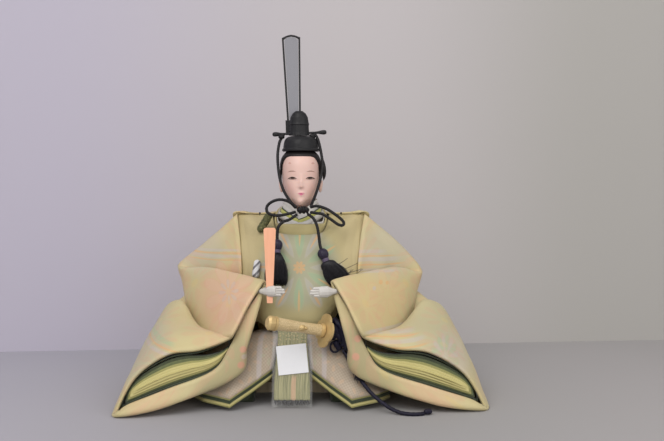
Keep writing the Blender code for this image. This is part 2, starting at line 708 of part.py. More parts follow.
def make_hand(side, finish):
    """Hand with four fused fingers and a thumb, pointing at the middle."""
    root, along, across, up = hand_axes(side)
    half_h, half_t = HAND_HEIGHT / 2, HAND_THICK / 2
    rings = []
    for run, tall, deep in HAND_PROFILE_SHARES:
        centre = root + along * run * HAND_LENGTH
        rings.append([centre + up * half_h * tall * math.sin(a) + across * half_t * deep * math.cos(a)
                      for a in np.linspace(0, 2 * math.pi, 12, endpoint=False)])
    hand = ring_solid("hand_" + side_name(side), rings, finish)
    finger_start = HAND_LENGTH / 2
    gap = (HAND_HEIGHT - 2 * FINGER_RADIUS) / 3
    lengths = (.86, 1.0, .98, .88)
    for index, share in enumerate(lengths):
        lift = (index - 1.5) * gap * .86
        length = HAND_LENGTH * share - finger_start
        profile = [(0, FINGER_RADIUS), (length - FINGER_RADIUS, FINGER_RADIUS), (length, FINGER_RADIUS / 2)]
        place = root + along * finger_start + up * lift
        finger = turned_solid("finger", profile, finish, place, along, sides=8)
        hand = boolean(hand, finger, "UNION")
    if side == RIGHT:
        hand = boolean(hand, make_baton_slot(finish), "DIFFERENCE")
    return hand


def baton_place():
    """Foot of the baton, and its upright axes, in the right hand's grip."""
    root, along, across, up = hand_axes(RIGHT)
    grip = root + along * HAND_LENGTH * .40
    foot = np.array((grip[0], grip[1], grip[2] - HAND_HEIGHT / 2 - BATON_BELOW_HAND))
    return foot


def baton_half_width(rise):
    share = min(max(rise / BATON_LENGTH, 0.0), 1.0)
    return (BATON_FOOT_WIDTH + share * (BATON_TOP_WIDTH - BATON_FOOT_WIDTH)) / 2


def make_baton_slot(finish):
    foot = baton_place()
    through = HAND_HEIGHT + 2 * BATON_BELOW_HAND
    width = 2 * (baton_half_width(through) + CLEARANCE)
    size = (width, BATON_THICK + 2 * CLEARANCE, through * 2)
    return block("baton_slot", size, foot + np.array((0, 0, through / 2)), ((1, 0, 0), (0, 1, 0), (0, 0, 1)), finish)


def make_baton(finish):
    foot = baton_place()
    half_foot, half_top = BATON_FOOT_WIDTH / 2, BATON_TOP_WIDTH / 2
    round_off = BATON_TOP_WIDTH / 8
    outline = [(-half_foot, 0), (half_foot, 0), (half_top, BATON_LENGTH - round_off),
               (half_top - round_off, BATON_LENGTH), (-half_top + round_off, BATON_LENGTH),
               (-half_top, BATON_LENGTH - round_off)]
    return extruded("baton", outline, BATON_THICK, foot, ((1, 0, 0), (0, 0, 1), (0, -1, 0)), finish)


# Outer robe

def sleeve_places(side):
    """The sleeve's table as places, with this side's elbow."""
    shares = np.array(SLEEVE_SHARES)
    shares[ELBOW_RING, list(ELBOW_COLUMNS)] += ELBOW_SHIFT_SHARE[side]
    return robe_points(shares, side, TIP_SPREAD_SHARE[side], TIP_DRAW_BACK_SHARE[side])


def sleeve_grid(side):
    places = sleeve_places(side)
    grid = smooth_grid(places, SLEEVE_STEPS_ALONG, SLEEVE_STEPS_ROUND, closed=True)
    grid[..., 2] = np.maximum(grid[..., 2], FLOOR_LIFT)
    return grid


def outward_sign(grid, closed):
    """1 where the grid's normals point away from its middle, else -1."""
    normals = grid_normals(grid, closed)
    middle = grid.mean(axis=(0, 1))
    return 1.0 if ((grid - middle) * normals).sum() > 0 else -1.0


def make_sleeve(side, finish):
    grid = sleeve_grid(side)
    sign = outward_sign(grid, True)
    return sheet("sleeve_" + side_name(side), grid, ROBE_CLOTH, finish, closed=True, side=sign)


def tube_faces(ring_count, around):
    """Faces of a closed wall whose rings run out along one side and back
    along the other."""
    faces = []
    for ring in range(ring_count):
        following = (ring + 1) % ring_count
        for j in range(around):
            k = (j + 1) % around
            faces.append((ring * around + j, ring * around + k, following * around + k, following * around + j))
    return faces


def cuff_loop(side, inset, back):
    """Closed flat loop in the cuff's mouth, at an inset from its edges, moved
    back into the sleeve."""
    row = sleeve_grid(side)[-1]
    upper, lower = row[list(CUFF_UPPER_COLUMNS)], row[list(CUFF_LOWER_COLUMNS)]
    middle = (upper + lower) / 2
    reach = (upper - lower) / 2
    half = np.linalg.norm(reach, axis=1)
    known = np.arange(len(half))
    fine = np.linspace(0, known[-1], CUFF_SAMPLES)
    half_fine = np.interp(fine, known, half)
    open_part = fine[half_fine > inset * CUFF_SLANT_SHARE + CLEARANCE]
    last = open_part[-1] - inset / CUFF_TIP_LENGTH
    picks = np.minimum(known, last - (known[-1] - known) * CUFF_CROWDING_SHARE)
    picks = np.maximum(picks, open_part[0] + known * CUFF_CROWDING_SHARE)
    spine = np.stack([np.interp(picks, known, middle[:, k]) for k in range(3)], axis=1)
    toward = np.stack([np.interp(picks, known, (reach / half[:, None])[:, k]) for k in range(3)], axis=1)
    lift = toward * (np.interp(picks, known, half) - inset * CUFF_SLANT_SHARE)[:, None]
    spine += np.array((0.0, back, 0.0))
    lift *= 1.0 - CUFF_NARROWING_SHARE * back / CUFF_DEPTH
    return np.concatenate([spine + lift, (spine - lift)[::-1]])


def make_cuff_layer(name, side, inset, thickness, front, finish):
    """Folded layer of the cuff: a flat tube inside the one before."""
    rings = [cuff_loop(side, inset, front), cuff_loop(side, inset, CUFF_DEPTH),
             cuff_loop(side, inset + thickness, CUFF_DEPTH), cuff_loop(side, inset + thickness, front)]
    faces = tube_faces(len(rings), len(rings[0]))
    return link_mesh(name + "_" + side_name(side), np.concatenate(rings), faces, finish)


def make_cuff_pack(side, inset, front, finish):
    """Innermost folded layers, a solid pack with a rounded face."""
    rings = []
    for back, drawn_in in ((front, 1.0), (front * 2, .25), (CUFF_DEPTH / 2, .0), (CUFF_DEPTH, .0)):
        rings.append(cuff_loop(side, inset + drawn_in * CUFF_CLOTH, back))
    return ring_solid("cuff_lime_" + side_name(side), rings, finish)


def make_cuff(side, dark, green, lime):
    inset = ROBE_CLOTH + CUFF_GAP
    make_cuff_layer("sleeve_lining", side, inset, LINING_CLOTH, CUFF_STEP_BACK, dark)
    inset += LINING_CLOTH + CUFF_GAP * 1.8
    make_cuff_layer("cuff_green", side, inset, CUFF_CLOTH, 2 * CUFF_STEP_BACK, green)
    inset += CUFF_CLOTH + CUFF_GAP * 1.3
    make_cuff_pack(side, inset, 3 * CUFF_STEP_BACK, lime)


def robe_body_grid():
    front = robe_points(FRONT_SHARES)
    back = robe_points(BACK_SHARES)
    lean = np.array(FRONT_LEAN_SHARES)[:, None] * HALF_SPAN
    mirror = np.array((-1.0, 1.0, 1.0))
    front_full = np.concatenate([(front * mirror)[:, :0:-1], front], axis=1)
    back_full = np.concatenate([(back * mirror)[:, :0:-1], back], axis=1)
    front_full[..., 0] += lean
    return front_full, back_full[:, ::-1]


def make_robe_body(finish):
    """Chest, shoulders and back in one sheet, open at the neck, at both
    armholes and at the hem."""
    front, back = robe_body_grid()
    front = smooth_grid(front, 2, 2)
    back = smooth_grid(back, 2, 2)
    grid = np.concatenate([front, back], axis=1)
    columns = grid.shape[1]
    side_columns = (front.shape[1] - 1, columns - 1)
    shoulder_end = len(FRONT_LEAN_SHARES) // 2

    def keep(i, j):
        return j not in side_columns or i < shoulder_end

    front_normals = grid_normals(front)
    back_normals = grid_normals(back)
    normals = np.concatenate([front_normals, back_normals], axis=1)
    sign = 1.0 if normals[shoulder_end * 2, front.shape[1] // 2][1] < 0 else -1.0
    inner = grid - normals * ROBE_CLOTH * sign
    vertices = np.concatenate([grid.reshape(-1, 3), inner.reshape(-1, 3)])
    faces = shell_faces(grid.shape[0], columns, True, keep)
    return link_mesh("robe_body", vertices, faces, finish)


def band_ring(centre, half_width, half_depth, height_at, sides):
    ring = []
    for step in range(sides):
        angle = 2 * math.pi * step / sides
        x = centre[0] + half_width * math.cos(angle)
        y = centre[1] + half_depth * math.sin(angle)
        ring.append((x, y, height_at(y)))
    return np.array(ring)


def collar_height(y):
    """Lower edge of the round collar: low in front, high at the nape."""
    front, back = COLLAR_CENTRE_Y - COLLAR_HALF_DEPTH, COLLAR_CENTRE_Y + COLLAR_HALF_DEPTH
    share = (y - front) / (back - front)
    return SHOULDER * (.878 + .116 * share ** .6) - CLEARANCE


def make_round_collar(finish):
    centre = (0.0, COLLAR_CENTRE_Y)
    outer_w, outer_d = COLLAR_HALF_WIDTH, COLLAR_HALF_DEPTH
    sides = 24
    low_out = band_ring(centre, outer_w, outer_d, collar_height, sides)
    low_in = band_ring(centre, outer_w - COLLAR_THICK, outer_d - COLLAR_THICK, collar_height, sides)
    rise = np.array((0.0, 0.0, COLLAR_HEIGHT))
    rings = [low_out, low_out + rise, low_in + rise, low_in]
    vertices = np.concatenate(rings)
    return link_mesh("round_collar", vertices, tube_faces(len(rings), sides), finish)


# Inner collar route on one side: from the crossing in front round to the nape.
INNER_COLLAR_SHARES = [(.05, -1.0, 0.0), (-.30, -.93, .20), (-.62, -.70, .55), (-.86, -.30, .85),
                       (-.92, .20, 1.0), (-.70, .66, 1.05), (.0, .92, 1.08), (.70, .66, 1.05), (.92, .20, 1.0),
                       (.86, -.30, .85), (.62, -.78, .55), (.30, -1.0, .20), (-.05, -1.075, 0.0)]


def make_inner_collar(name, inset, rise, finish):
    """Standing collar band, left over right in front."""
    places = []
    for x, y, lift in INNER_COLLAR_SHARES:
        places.append((x * (COLLAR_HALF_WIDTH - inset), COLLAR_CENTRE_Y + y * (COLLAR_HALF_DEPTH - inset),
                       CORE_TOP + lift * INNER_COLLAR_HEIGHT + rise))
    route = smooth_along(places, 2)
    tangents = np.gradient(route, axis=0)
    tangents[:, 2] = 0
    across = np.stack([-tangents[:, 1], tangents[:, 0], np.zeros(len(tangents))], axis=1)
    across /= np.linalg.norm(across, axis=1, keepdims=True)
    up = np.array((0.0, 0.0, INNER_COLLAR_HEIGHT))
    half = across * INNER_COLLAR_THICK / 2
    rings = np.stack([route - half, route + half, route + half + up, route - half + up], axis=1)
    return ring_solid(name, rings, finish)


def make_collar_toggle(finish):
    """Olive braid with a knob at the doll's right shoulder."""
    route = robe_points([(-.172, -.250, .997), (-.195, -.262, .957), (-.218, -.272, .922), (-.238, -.280, .892)])
    return tube("collar_toggle", route, TOGGLE_RADIUS, finish, steps=2)


def make_chest_tab(finish):
    route = robe_points([(-.205, -.381, .735), (-.210, -.418, .690), (-.215, -.443, .650)])
    return tube("chest_tab", route, CHEST_TAB_RADIUS, finish, steps=2)


def make_belt(finish):
    sides = 24
    centre = (0.0, CORE_CENTRE_Y)
    wide = CORE_HALF_WIDTH * 1.05 + CLEARANCE
    deep = CORE_HALF_DEPTH * 1.12 + CLEARANCE
    belt_height = SHOULDER * .40
    thick = ROBE_CLOTH * 1.5
    tall = SHOULDER * .06

    def level(_):
        return belt_height

    low_in = band_ring(centre, wide, deep, level, sides)
    low_out = band_ring(centre, wide + thick, deep + thick, level, sides)
    rise = np.array((0.0, 0.0, tall))
    rings = [low_out, low_out + rise, low_in + rise, low_in]
    return link_mesh("waist_belt", np.concatenate(rings), tube_faces(len(rings), sides), finish)


# Trousers

def panel_grid(side, level):
    """Cloth of one knee, at a level below the outermost panel."""
    shares = np.array(PANEL_SHARES)
    shares[..., 0] += PANEL_INWARD_SHIFT_SHARE[side]
    places = robe_points(shares, side)
    grid = smooth_grid(places, PANEL_STEPS, PANEL_STEPS)
    grid[..., 2] -= level * PANEL_DROP
    grid[..., 2] = np.maximum(grid[..., 2], FLOOR_LIFT / 2 + PANEL_THICK)
    return grid


def make_panel(name, side, level, finish):
    grid = panel_grid(side, level)
    under = grid.copy()
    under[..., 2] -= PANEL_THICK
    rows, columns = grid.shape[:2]
    vertices = np.concatenate([grid.reshape(-1, 3), under.reshape(-1, 3)])
    return link_mesh(name + "_" + side_name(side), vertices, shell_faces(rows, columns, False), finish)


def make_knee_wadding(side, finish):
    """Wadding under the knee cloths, flat on the floor."""
    top = panel_grid(side, 2)[1:-1, 1:-1]
    top[..., 2] = np.maximum(top[..., 2] - PANEL_THICK - 2 * CLEARANCE, FLOOR_LIFT * 2)
    under = top.copy()
    under[..., 2] = 0
    rows, columns = top.shape[:2]
    vertices = np.concatenate([top.reshape(-1, 3), under.reshape(-1, 3)])
    return link_mesh("knee_wadding_" + side_name(side), vertices, shell_faces(rows, columns, False), finish)


# Head

HEAD_PROFILE_SHARES = [
    (-.26, .50, .38, .44), (-.09, .49, .37, .44), (-.03, .53, .66, .44), (.00, .58, .93, .46), (.06, .73, 1.0, .64),
    (.18, .87, 1.0, .90), (.33, .97, .99, .98), (.50, 1.0, .98, 1.0), (.68, .96, .95, .98), (.80, .84, .82, .88),
    (.88, .62, .53, .64), (.93, .38, .34, .38),
]


def head_rings(sides):
    rings = []
    for rise, wide, front, back in HEAD_PROFILE_SHARES:
        height = CHIN_HEIGHT + rise * HEAD_HEIGHT
        rings.append(ellipse((0, 0), wide * FACE_HALF_WIDTH, front * FACE_FRONT, back * HEAD_BACK, height, sides))
    return np.array(rings)


def make_head(finish):
    """Head with nose, ears and neck, bored for the stick."""
    rings = head_rings(20)
    bottom = CORE_TOP + 2 * CLEARANCE
    rings[0, :, 2] = bottom
    head = ring_solid("head", rings, finish)
    nose_height = CHIN_HEIGHT + HEAD_HEIGHT * .34
    nose_length = HEAD_HEIGHT * .20
    profile = [(0, FACE_FRONT / 22), (nose_length * .75, FACE_FRONT / 11), (nose_length, FACE_FRONT / 40)]
    place = (0, -FACE_FRONT * .99, nose_height + nose_length * .75)
    nose = turned_solid("nose", profile, finish, place, (0, -.10, -1), sides=8)
    head = boolean(head, nose, "UNION")
    for side in (RIGHT, LEFT):
        ear_place = (side * FACE_HALF_WIDTH, FACE_FRONT * .05, CHIN_HEIGHT + HEAD_HEIGHT * .31)
        half = EAR_HEIGHT / 2
        profile = [(-half, half / 6), (-half * .6, half * .36), (half * .3, half * .48), (half * .85, half * .34),
                   (half, half / 8)]
        ear = turned_solid("ear", profile, finish, ear_place, (side * .15, .12, 1), sides=8)
        head = boolean(head, ear, "UNION")
    hole = STICK_RADIUS + STICK_CLEARANCE
    start = bottom - STICK_IN_HEAD
    profile = [(0, hole), (STICK_IN_HEAD * 2 + 2 * CLEARANCE, hole)]
    cutter = turned_solid("head_bore", profile, finish, (0, 0, start), sides=16)
    return boolean(head, cutter, "DIFFERENCE")


def make_hair(finish):
    """Hair shell over the top, sides and back of the head."""
    sides = 20
    rings = head_rings(sides)[5:]
    normals = grid_normals(rings, True)
    sign = outward_sign(rings, True)
    inner = rings + normals * CLEARANCE * 1.5 * sign
    outer = rings + normals * (CLEARANCE * 1.5 + HAIR_THICK) * sign
    rows = rings.shape[0]
    hairline_row = rows - 3
    ear_rows = 2

    def keep(i, j):
        angle = 2 * math.pi * (j + .5) / sides
        behind = math.sin(angle) > (.35 if i < ear_rows else -.15)
        return behind or i >= hairline_row

    vertices = np.concatenate([outer.reshape(-1, 3), inner.reshape(-1, 3)])
    faces = shell_faces(rows, sides, True, keep)
    used = sorted({v for face in faces for v in face})
    places = {old: new for new, old in enumerate(used)}
    faces = [tuple(places[v] for v in face) for face in faces]
    return link_mesh("hair", vertices[used], faces, finish)


# Cap, topknot cover, hairpin and tail

CAP_PROFILE_SHARES = [(0.0, 1.0), (.30, .99), (.55, .90), (.78, .70), (.93, .42), (1.0, .12)]


def cap_top():
    return CAP_BOTTOM + CAP_HEIGHT


def make_cap(finish):
    """Domed cap shell with a rolled rim, open below."""
    sides = 24

    def rings(shrink, lower):
        made = []
        for rise, wide in CAP_PROFILE_SHARES:
            height = CAP_BOTTOM + rise * (CAP_HEIGHT - shrink) - lower
            made.append(ellipse((0, CAP_CENTRE_Y), wide * (CAP_HALF_WIDTH - shrink), wide * (CAP_HALF_DEPTH - shrink),
                                wide * (CAP_HALF_DEPTH - shrink), height, sides))
        return made

    outer = ring_solid("cap", rings(0.0, 0.0), finish)
    rim_height = CAP_HEIGHT * .16
    rim = [ellipse((0, CAP_CENTRE_Y), CAP_HALF_WIDTH + CAP_WALL, CAP_HALF_DEPTH + CAP_WALL,
                   CAP_HALF_DEPTH + CAP_WALL, CAP_BOTTOM + rise, sides) for rise in (0, rim_height)]
    outer = boolean(outer, ring_solid("rim", rim, finish), "UNION")
    return boolean(outer, ring_solid("cap_hollow", rings(CAP_WALL, CAP_WALL / 2), finish), "DIFFERENCE")


TOPKNOT_PROFILE_SHARES = [(.0, 1.06), (.14, 1.0), (.40, .97), (.44, 1.03), (.50, .96), (.72, .88), (.88, .66),
                          (.97, .36)]


def topknot_bottom():
    return cap_top() + CLEARANCE


def make_topknot_cover(finish):
    """Rounded cover with a band, bored across for the pin, and the tail's
    socket on its back."""
    rings = []
    for rise, wide in TOPKNOT_PROFILE_SHARES:
        height = topknot_bottom() + rise * TOPKNOT_HEIGHT
        rings.append(ellipse((TOPKNOT_X, TOPKNOT_Y), wide * TOPKNOT_HALF_WIDTH, wide * TOPKNOT_HALF_DEPTH,
                             wide * TOPKNOT_HALF_DEPTH, height, 20))
    cover = ring_solid("topknot_cover", rings, finish)
    wide, up, front = tail_axes()
    axes = (wide, -front, up)
    outer_depth = TAIL_THICK + 2 * (SOCKET_WALL + CLEARANCE)
    outer_width = 2 * (TAIL_FOOT_HALF_WIDTH + SOCKET_WALL + CLEARANCE)
    overlap = TOPKNOT_HALF_DEPTH / 4
    centre = np.array((TAIL_X, tail_y() - overlap / 2, socket_bottom())) + up * SOCKET_DEPTH / 2
    box = block("socket", (outer_width, outer_depth + overlap, SOCKET_DEPTH), centre, axes, finish)
    cover = boolean(cover, box, "UNION")
    slot_size = (2 * (TAIL_FOOT_HALF_WIDTH + CLEARANCE), TAIL_THICK + 2 * CLEARANCE, SOCKET_DEPTH * 2)
    slot_centre = np.array((TAIL_X, tail_y(), socket_bottom())) + up * (SOCKET_WALL + SOCKET_DEPTH)
    cover = boolean(cover, block("slot", slot_size, slot_centre, axes, finish), "DIFFERENCE")
    hole = PIN_RADIUS + CLEARANCE
    half = TOPKNOT_HALF_WIDTH * 2
    profile = [(-half, hole), (half, hole)]
    place = (TOPKNOT_X, TOPKNOT_Y - TOPKNOT_HALF_DEPTH / 5, pin_height())
    bore = turned_solid("pin_bore", profile, finish, place, (1, 0, 0))
    return boolean(cover, bore, "DIFFERENCE")


def socket_bottom():
    return topknot_bottom() + TOPKNOT_HEIGHT * .05


def pin_height():
    return topknot_bottom() + PIN_ABOVE_CAP


def tail_y():
    return TOPKNOT_Y + TOPKNOT_HALF_DEPTH + TAIL_THICK / 2 + CLEARANCE + SOCKET_WALL / 2


def tail_axes():
    """Across the tail, up along it and to its front. It leans a little to the right."""
    up = np.array((-TAIL_LEAN_SHARE, 0.0, 1.0))
    up /= np.linalg.norm(up)
    wide = np.array((up[2], 0.0, -up[0]))
    return wide, up, np.array((0.0, -1.0, 0.0))


def make_hairpin(finish):
    knob = PIN_KNOB_RADIUS
    half = PIN_HALF_LENGTH
    collar = knob * .45
    profile = [(-half - knob, knob * .3), (-half - knob * .5, knob * .9), (-half, knob), (-half + knob * .6, collar),
               (-half + knob, PIN_RADIUS), (half - knob, PIN_RADIUS), (half - knob * .6, collar), (half, knob),
               (half + knob * .5, knob * .9), (half + knob, knob * .3)]
    place = (TOPKNOT_X, TOPKNOT_Y - TOPKNOT_HALF_DEPTH / 5, pin_height())
    return turned_solid("hairpin", profile, finish, place, (1, 0, 0), sides=10)


TAIL_OUTLINE_SHARES = [(-1.0, 0.0), (1.0, 0.0), (1.0, .97), (.45, .992), (0.0, 1.0), (-.45, .992), (-1.0, .97)]


def tail_outline(inset):
    """Tail outline, wider at its arched top, drawn in by the inset."""
    points = []
    for across, rise in TAIL_OUTLINE_SHARES:
        half = TAIL_FOOT_HALF_WIDTH + (TAIL_TOP_HALF_WIDTH - TAIL_FOOT_HALF_WIDTH) * rise
        y = rise * TAIL_LENGTH
        if rise == 0.0:
            y += inset
        else:
            y -= inset
        points.append((across * half - math.copysign(inset, across) * (abs(across) == 1.0), y))
    return points


def make_tail(frame_finish, gauze_finish):
    """Lacquered frame standing in the socket, and the gauze that fills it."""
    axes = tail_axes()
    foot = np.array((TAIL_X, tail_y(), socket_bottom())) + axes[1] * (SOCKET_WALL + CLEARANCE)
    frame = extruded("tail_frame", tail_outline(0.0), TAIL_THICK, foot, axes, frame_finish)
    window = extruded("window", tail_outline(TAIL_RIM), TAIL_THICK * 3, foot, axes, frame_finish)
    boolean(frame, window, "DIFFERENCE")
    extruded("tail_gauze", tail_outline(TAIL_RIM + CLEARANCE), GAUZE_THICK, foot, axes, gauze_finish)


# Cords and tassels of the cap

def make_bow_knot(finish):
    centre_x = (BOW_LOOP_RIGHT_ROUTE[0][0] + BOW_LOOP_LEFT_ROUTE[0][0]) / 2
    centre_y = (BOW_LOOP_RIGHT_ROUTE[0][1] + BOW_LOOP_RIGHT_ROUTE[-1][1]) / 2
    half = BOW_LOOP_LEFT_ROUTE[0][0] - centre_x - CLEARANCE - CORD_RADIUS * .6
    centre_z = (BOW_LOOP_RIGHT_ROUTE[0][2] + BOW_LOOP_RIGHT_ROUTE[-1][2]) / 2
    place = (centre_x, centre_y, centre_z)
    thick = BOW_KNOT_HALF_WIDTH * .64
    profile = [(-half, thick * .85), (-half * .5, thick), (half * .5, thick), (half, thick * .85)]
    return turned_solid("bow_knot", profile, finish, place, (1, 0, 0), sides=10)


def make_tassel(side, route, lean, finish):
    """Bound head over a skirt of threads."""
    place = np.array(route[-1]) + np.array(lean) * CLEARANCE
    head = TASSEL_HEAD_RADIUS
    length, foot = TASSEL_LENGTH[side], TASSEL_FOOT_RADIUS
    down, across, up = frame_axes(lean, (0.0, -1.0, 0.0))
    profile = [(0, head * .45, 1.0), (head * .4, head * .9, 1.0), (head, head, 1.0), (head * 1.7, head * .85, 1.0),
               (head * 2.1, head * .62, 1.0), (head * 2.5, head * .70, .95), (length * .45, foot * .72, .70),
               (length * .8, foot * .95, TASSEL_FLATNESS_SHARE), (length, foot, TASSEL_FLATNESS_SHARE)]
    rings = []
    for run, radius, flat in profile:
        centre = place + down * run
        rings.append([centre + across * radius * math.cos(a) + up * radius * flat * math.sin(a)
                      for a in np.linspace(0, 2 * math.pi, 12, endpoint=False)])
    return ring_solid("tassel_" + side_name(side), rings, finish)


# Sword

def sword_axes():
    along, across, up = frame_axes(SWORD_DIRECTION)
    return robe_place(GUARD_PLACE_SHARE), along, across, up


def oval_rings(origin, along, across, up, stations, sides):
    rings = []
    for run, tall, deep in stations:
        rings.append([origin + along * run + up * tall * math.sin(a) + across * deep * math.cos(a)
                      for a in np.linspace(0, 2 * math.pi, sides, endpoint=False)])
    return rings


def make_sword(hilt_finish, gold, scabbard_finish):
    origin, along, across, up = sword_axes()
    tall, deep = HILT_HALF_HEIGHT, HILT_HALF_THICK
    seat = -(GUARD_THICK / 2 + CLEARANCE)
    end = -HILT_LENGTH
    stations = [(seat, tall * .95, deep), (end * .5, tall * .86, deep * .92), (end, tall * 1.05, deep)]
    ring_solid("sword_hilt", oval_rings(origin, along, across, up, stations, 14), hilt_finish)
    start = end - CLEARANCE
    stations = [(start, tall * 1.12, deep * 1.15), (start - POMMEL_LENGTH * .7, tall * 1.15, deep * 1.15),
                (start - POMMEL_LENGTH, tall * .8, deep * .8)]
    ring_solid("sword_pommel", oval_rings(origin, along, across, up, stations, 14), gold)
    outline = []
    for step in range(40):
        angle = 2 * math.pi * step / 40
        radius = GUARD_RADIUS * (.80 + .20 * abs(math.cos(2 * angle)) ** .6)
        outline.append((radius * math.cos(angle) * .86, radius * math.sin(angle)))
    extruded("sword_guard", outline, GUARD_THICK, origin, (across, up, along), gold)
    start = GUARD_THICK / 2 + CLEARANCE
    end = start + SCABBARD_LENGTH
    tall, deep = SCABBARD_HALF_HEIGHT, SCABBARD_HALF_THICK
    stations = [(start, tall * 1.1, deep * 1.1), (start + deep, tall, deep), (end - deep, tall * .9, deep * .9),
                (end, tall * .6, deep * .6)]
    ring_solid("scabbard", oval_rings(origin, along, across, up, stations, 14), scabbard_finish)


# Sash with its clear sleeve and card

def sash_axes():
    lean = math.radians(SASH_LEAN_DEGREES)
    down = np.array((0.0, -math.sin(lean), -math.cos(lean)))
    front = np.array((0.0, -math.cos(lean), math.sin(lean)))
    return robe_place(SASH_HINGE_SHARE), np.array((1.0, 0.0, 0.0)), down, front


def make_sash(sash_finish, film, card_finish):
    hinge, wide, down, front = sash_axes()
    axes = (wide, down, front)
    size = (SASH_WIDTH, SASH_LENGTH, SASH_THICK)
    block("sash", size, hinge + down * SASH_LENGTH / 2, axes, sash_finish)
    size = (SASH_WIDTH, FRINGE_LENGTH, SASH_THICK)
    centre = hinge + down * (SASH_LENGTH + CLEARANCE + FRINGE_LENGTH / 2)
    block("sash_fringe", size, centre, axes, sash_finish)
    middle = front * (SLEEVE_INNER_DEPTH / 2 - SASH_THICK / 2 - CLEARANCE)
    wall = 2 * SLEEVE_WALL
    centre = hinge + down * SLEEVE_LENGTH / 2 + middle
    size = (SLEEVE_WIDTH + wall, SLEEVE_LENGTH, SLEEVE_INNER_DEPTH + wall)
    sleeve = block("clear_sleeve", size, centre, axes, film)
    size = (SLEEVE_WIDTH, SLEEVE_LENGTH * 2, SLEEVE_INNER_DEPTH)
    boolean(sleeve, block("sleeve_bore", size, centre, axes, film), "DIFFERENCE")
    tilt = math.radians(CARD_TILT_DEGREES)
    card_wide = wide * math.cos(tilt) - down * math.sin(tilt)
    card_down = down * math.cos(tilt) + wide * math.sin(tilt)
    centre = hinge + down * CARD_DROP + front * (SASH_THICK / 2 + CLEARANCE + CARD_THICK / 2)
    block("blank_card", (CARD_WIDTH, CARD_HEIGHT, CARD_THICK), centre, (card_wide, card_down, front), card_finish)


# Navy cord, its knot bundle, tuft and end knob

NAVY_BUNDLE_SHARES = [(.201, -.701, .3465), (.222, -.698, .312), (.240, -.690, .300)]


def make_navy_cord(finish):
    bundle = robe_points(NAVY_BUNDLE_SHARES)
    tube("navy_bundle", bundle, NAVY_RADIUS * 1.9, finish, steps=2)
    origin, along, _, _ = sword_axes()
    start = GUARD_THICK / 2 + 2 * CLEARANCE
    inner = SCABBARD_HALF_HEIGHT * 1.1 + CLEARANCE
    outer = inner + NAVY_RADIUS * 1.6
    length = NAVY_RADIUS * 6
    profile = [(start, inner), (start, outer * .9), (start + length * .2, outer), (start + length * .8, outer),
               (start + length, outer * .9), (start + length, inner)]
    turned_ring("sword_cord_wrap", profile, finish, origin, along)
    tube("navy_cord", NAVY_CORD_ROUTE, NAVY_RADIUS, finish)
    direction = np.array(NAVY_CORD_ROUTE[-1]) - np.array(NAVY_CORD_ROUTE[-2])
    direction /= np.linalg.norm(direction)
    direction[2] = 0
    place = np.array(NAVY_CORD_ROUTE[-1]) + direction * CLEARANCE
    place[2] = NAVY_KNOB_RADIUS + FLOOR_LIFT / 2
    length, radius = NAVY_KNOB_LENGTH, NAVY_KNOB_RADIUS
    profile = [(0, radius * .6), (length * .2, radius), (length * .8, radius), (length, radius * .8)]
    turned_solid("navy_cord_end", profile, finish, place, direction, sides=10)


def place_origin(names, place):
    """Move the origins of pieces onto their joint's axis."""
    shift = Matrix.Translation(-Vector(place))
    for name in names:
        piece = bpy.data.objects[name]
        piece.data.transform(shift)
        piece.location = place


def place_origins():
    place_origin(["tassel_right"], CORD_END_RIGHT_ROUTE[-1])
    place_origin(["tassel_left"], CORD_END_LEFT_ROUTE[-1])
    place_origin(["tail_frame", "tail_gauze"], (TAIL_X, tail_y(), socket_bottom()))
    place_origin(["baton"], baton_place())
    place_origin(["sword_hilt", "sword_pommel", "sword_guard", "scabbard", "sword_cord_wrap"], sword_axes()[0])
    place_origin(["sash", "sash_fringe", "clear_sleeve", "blank_card"], sash_axes()[0])


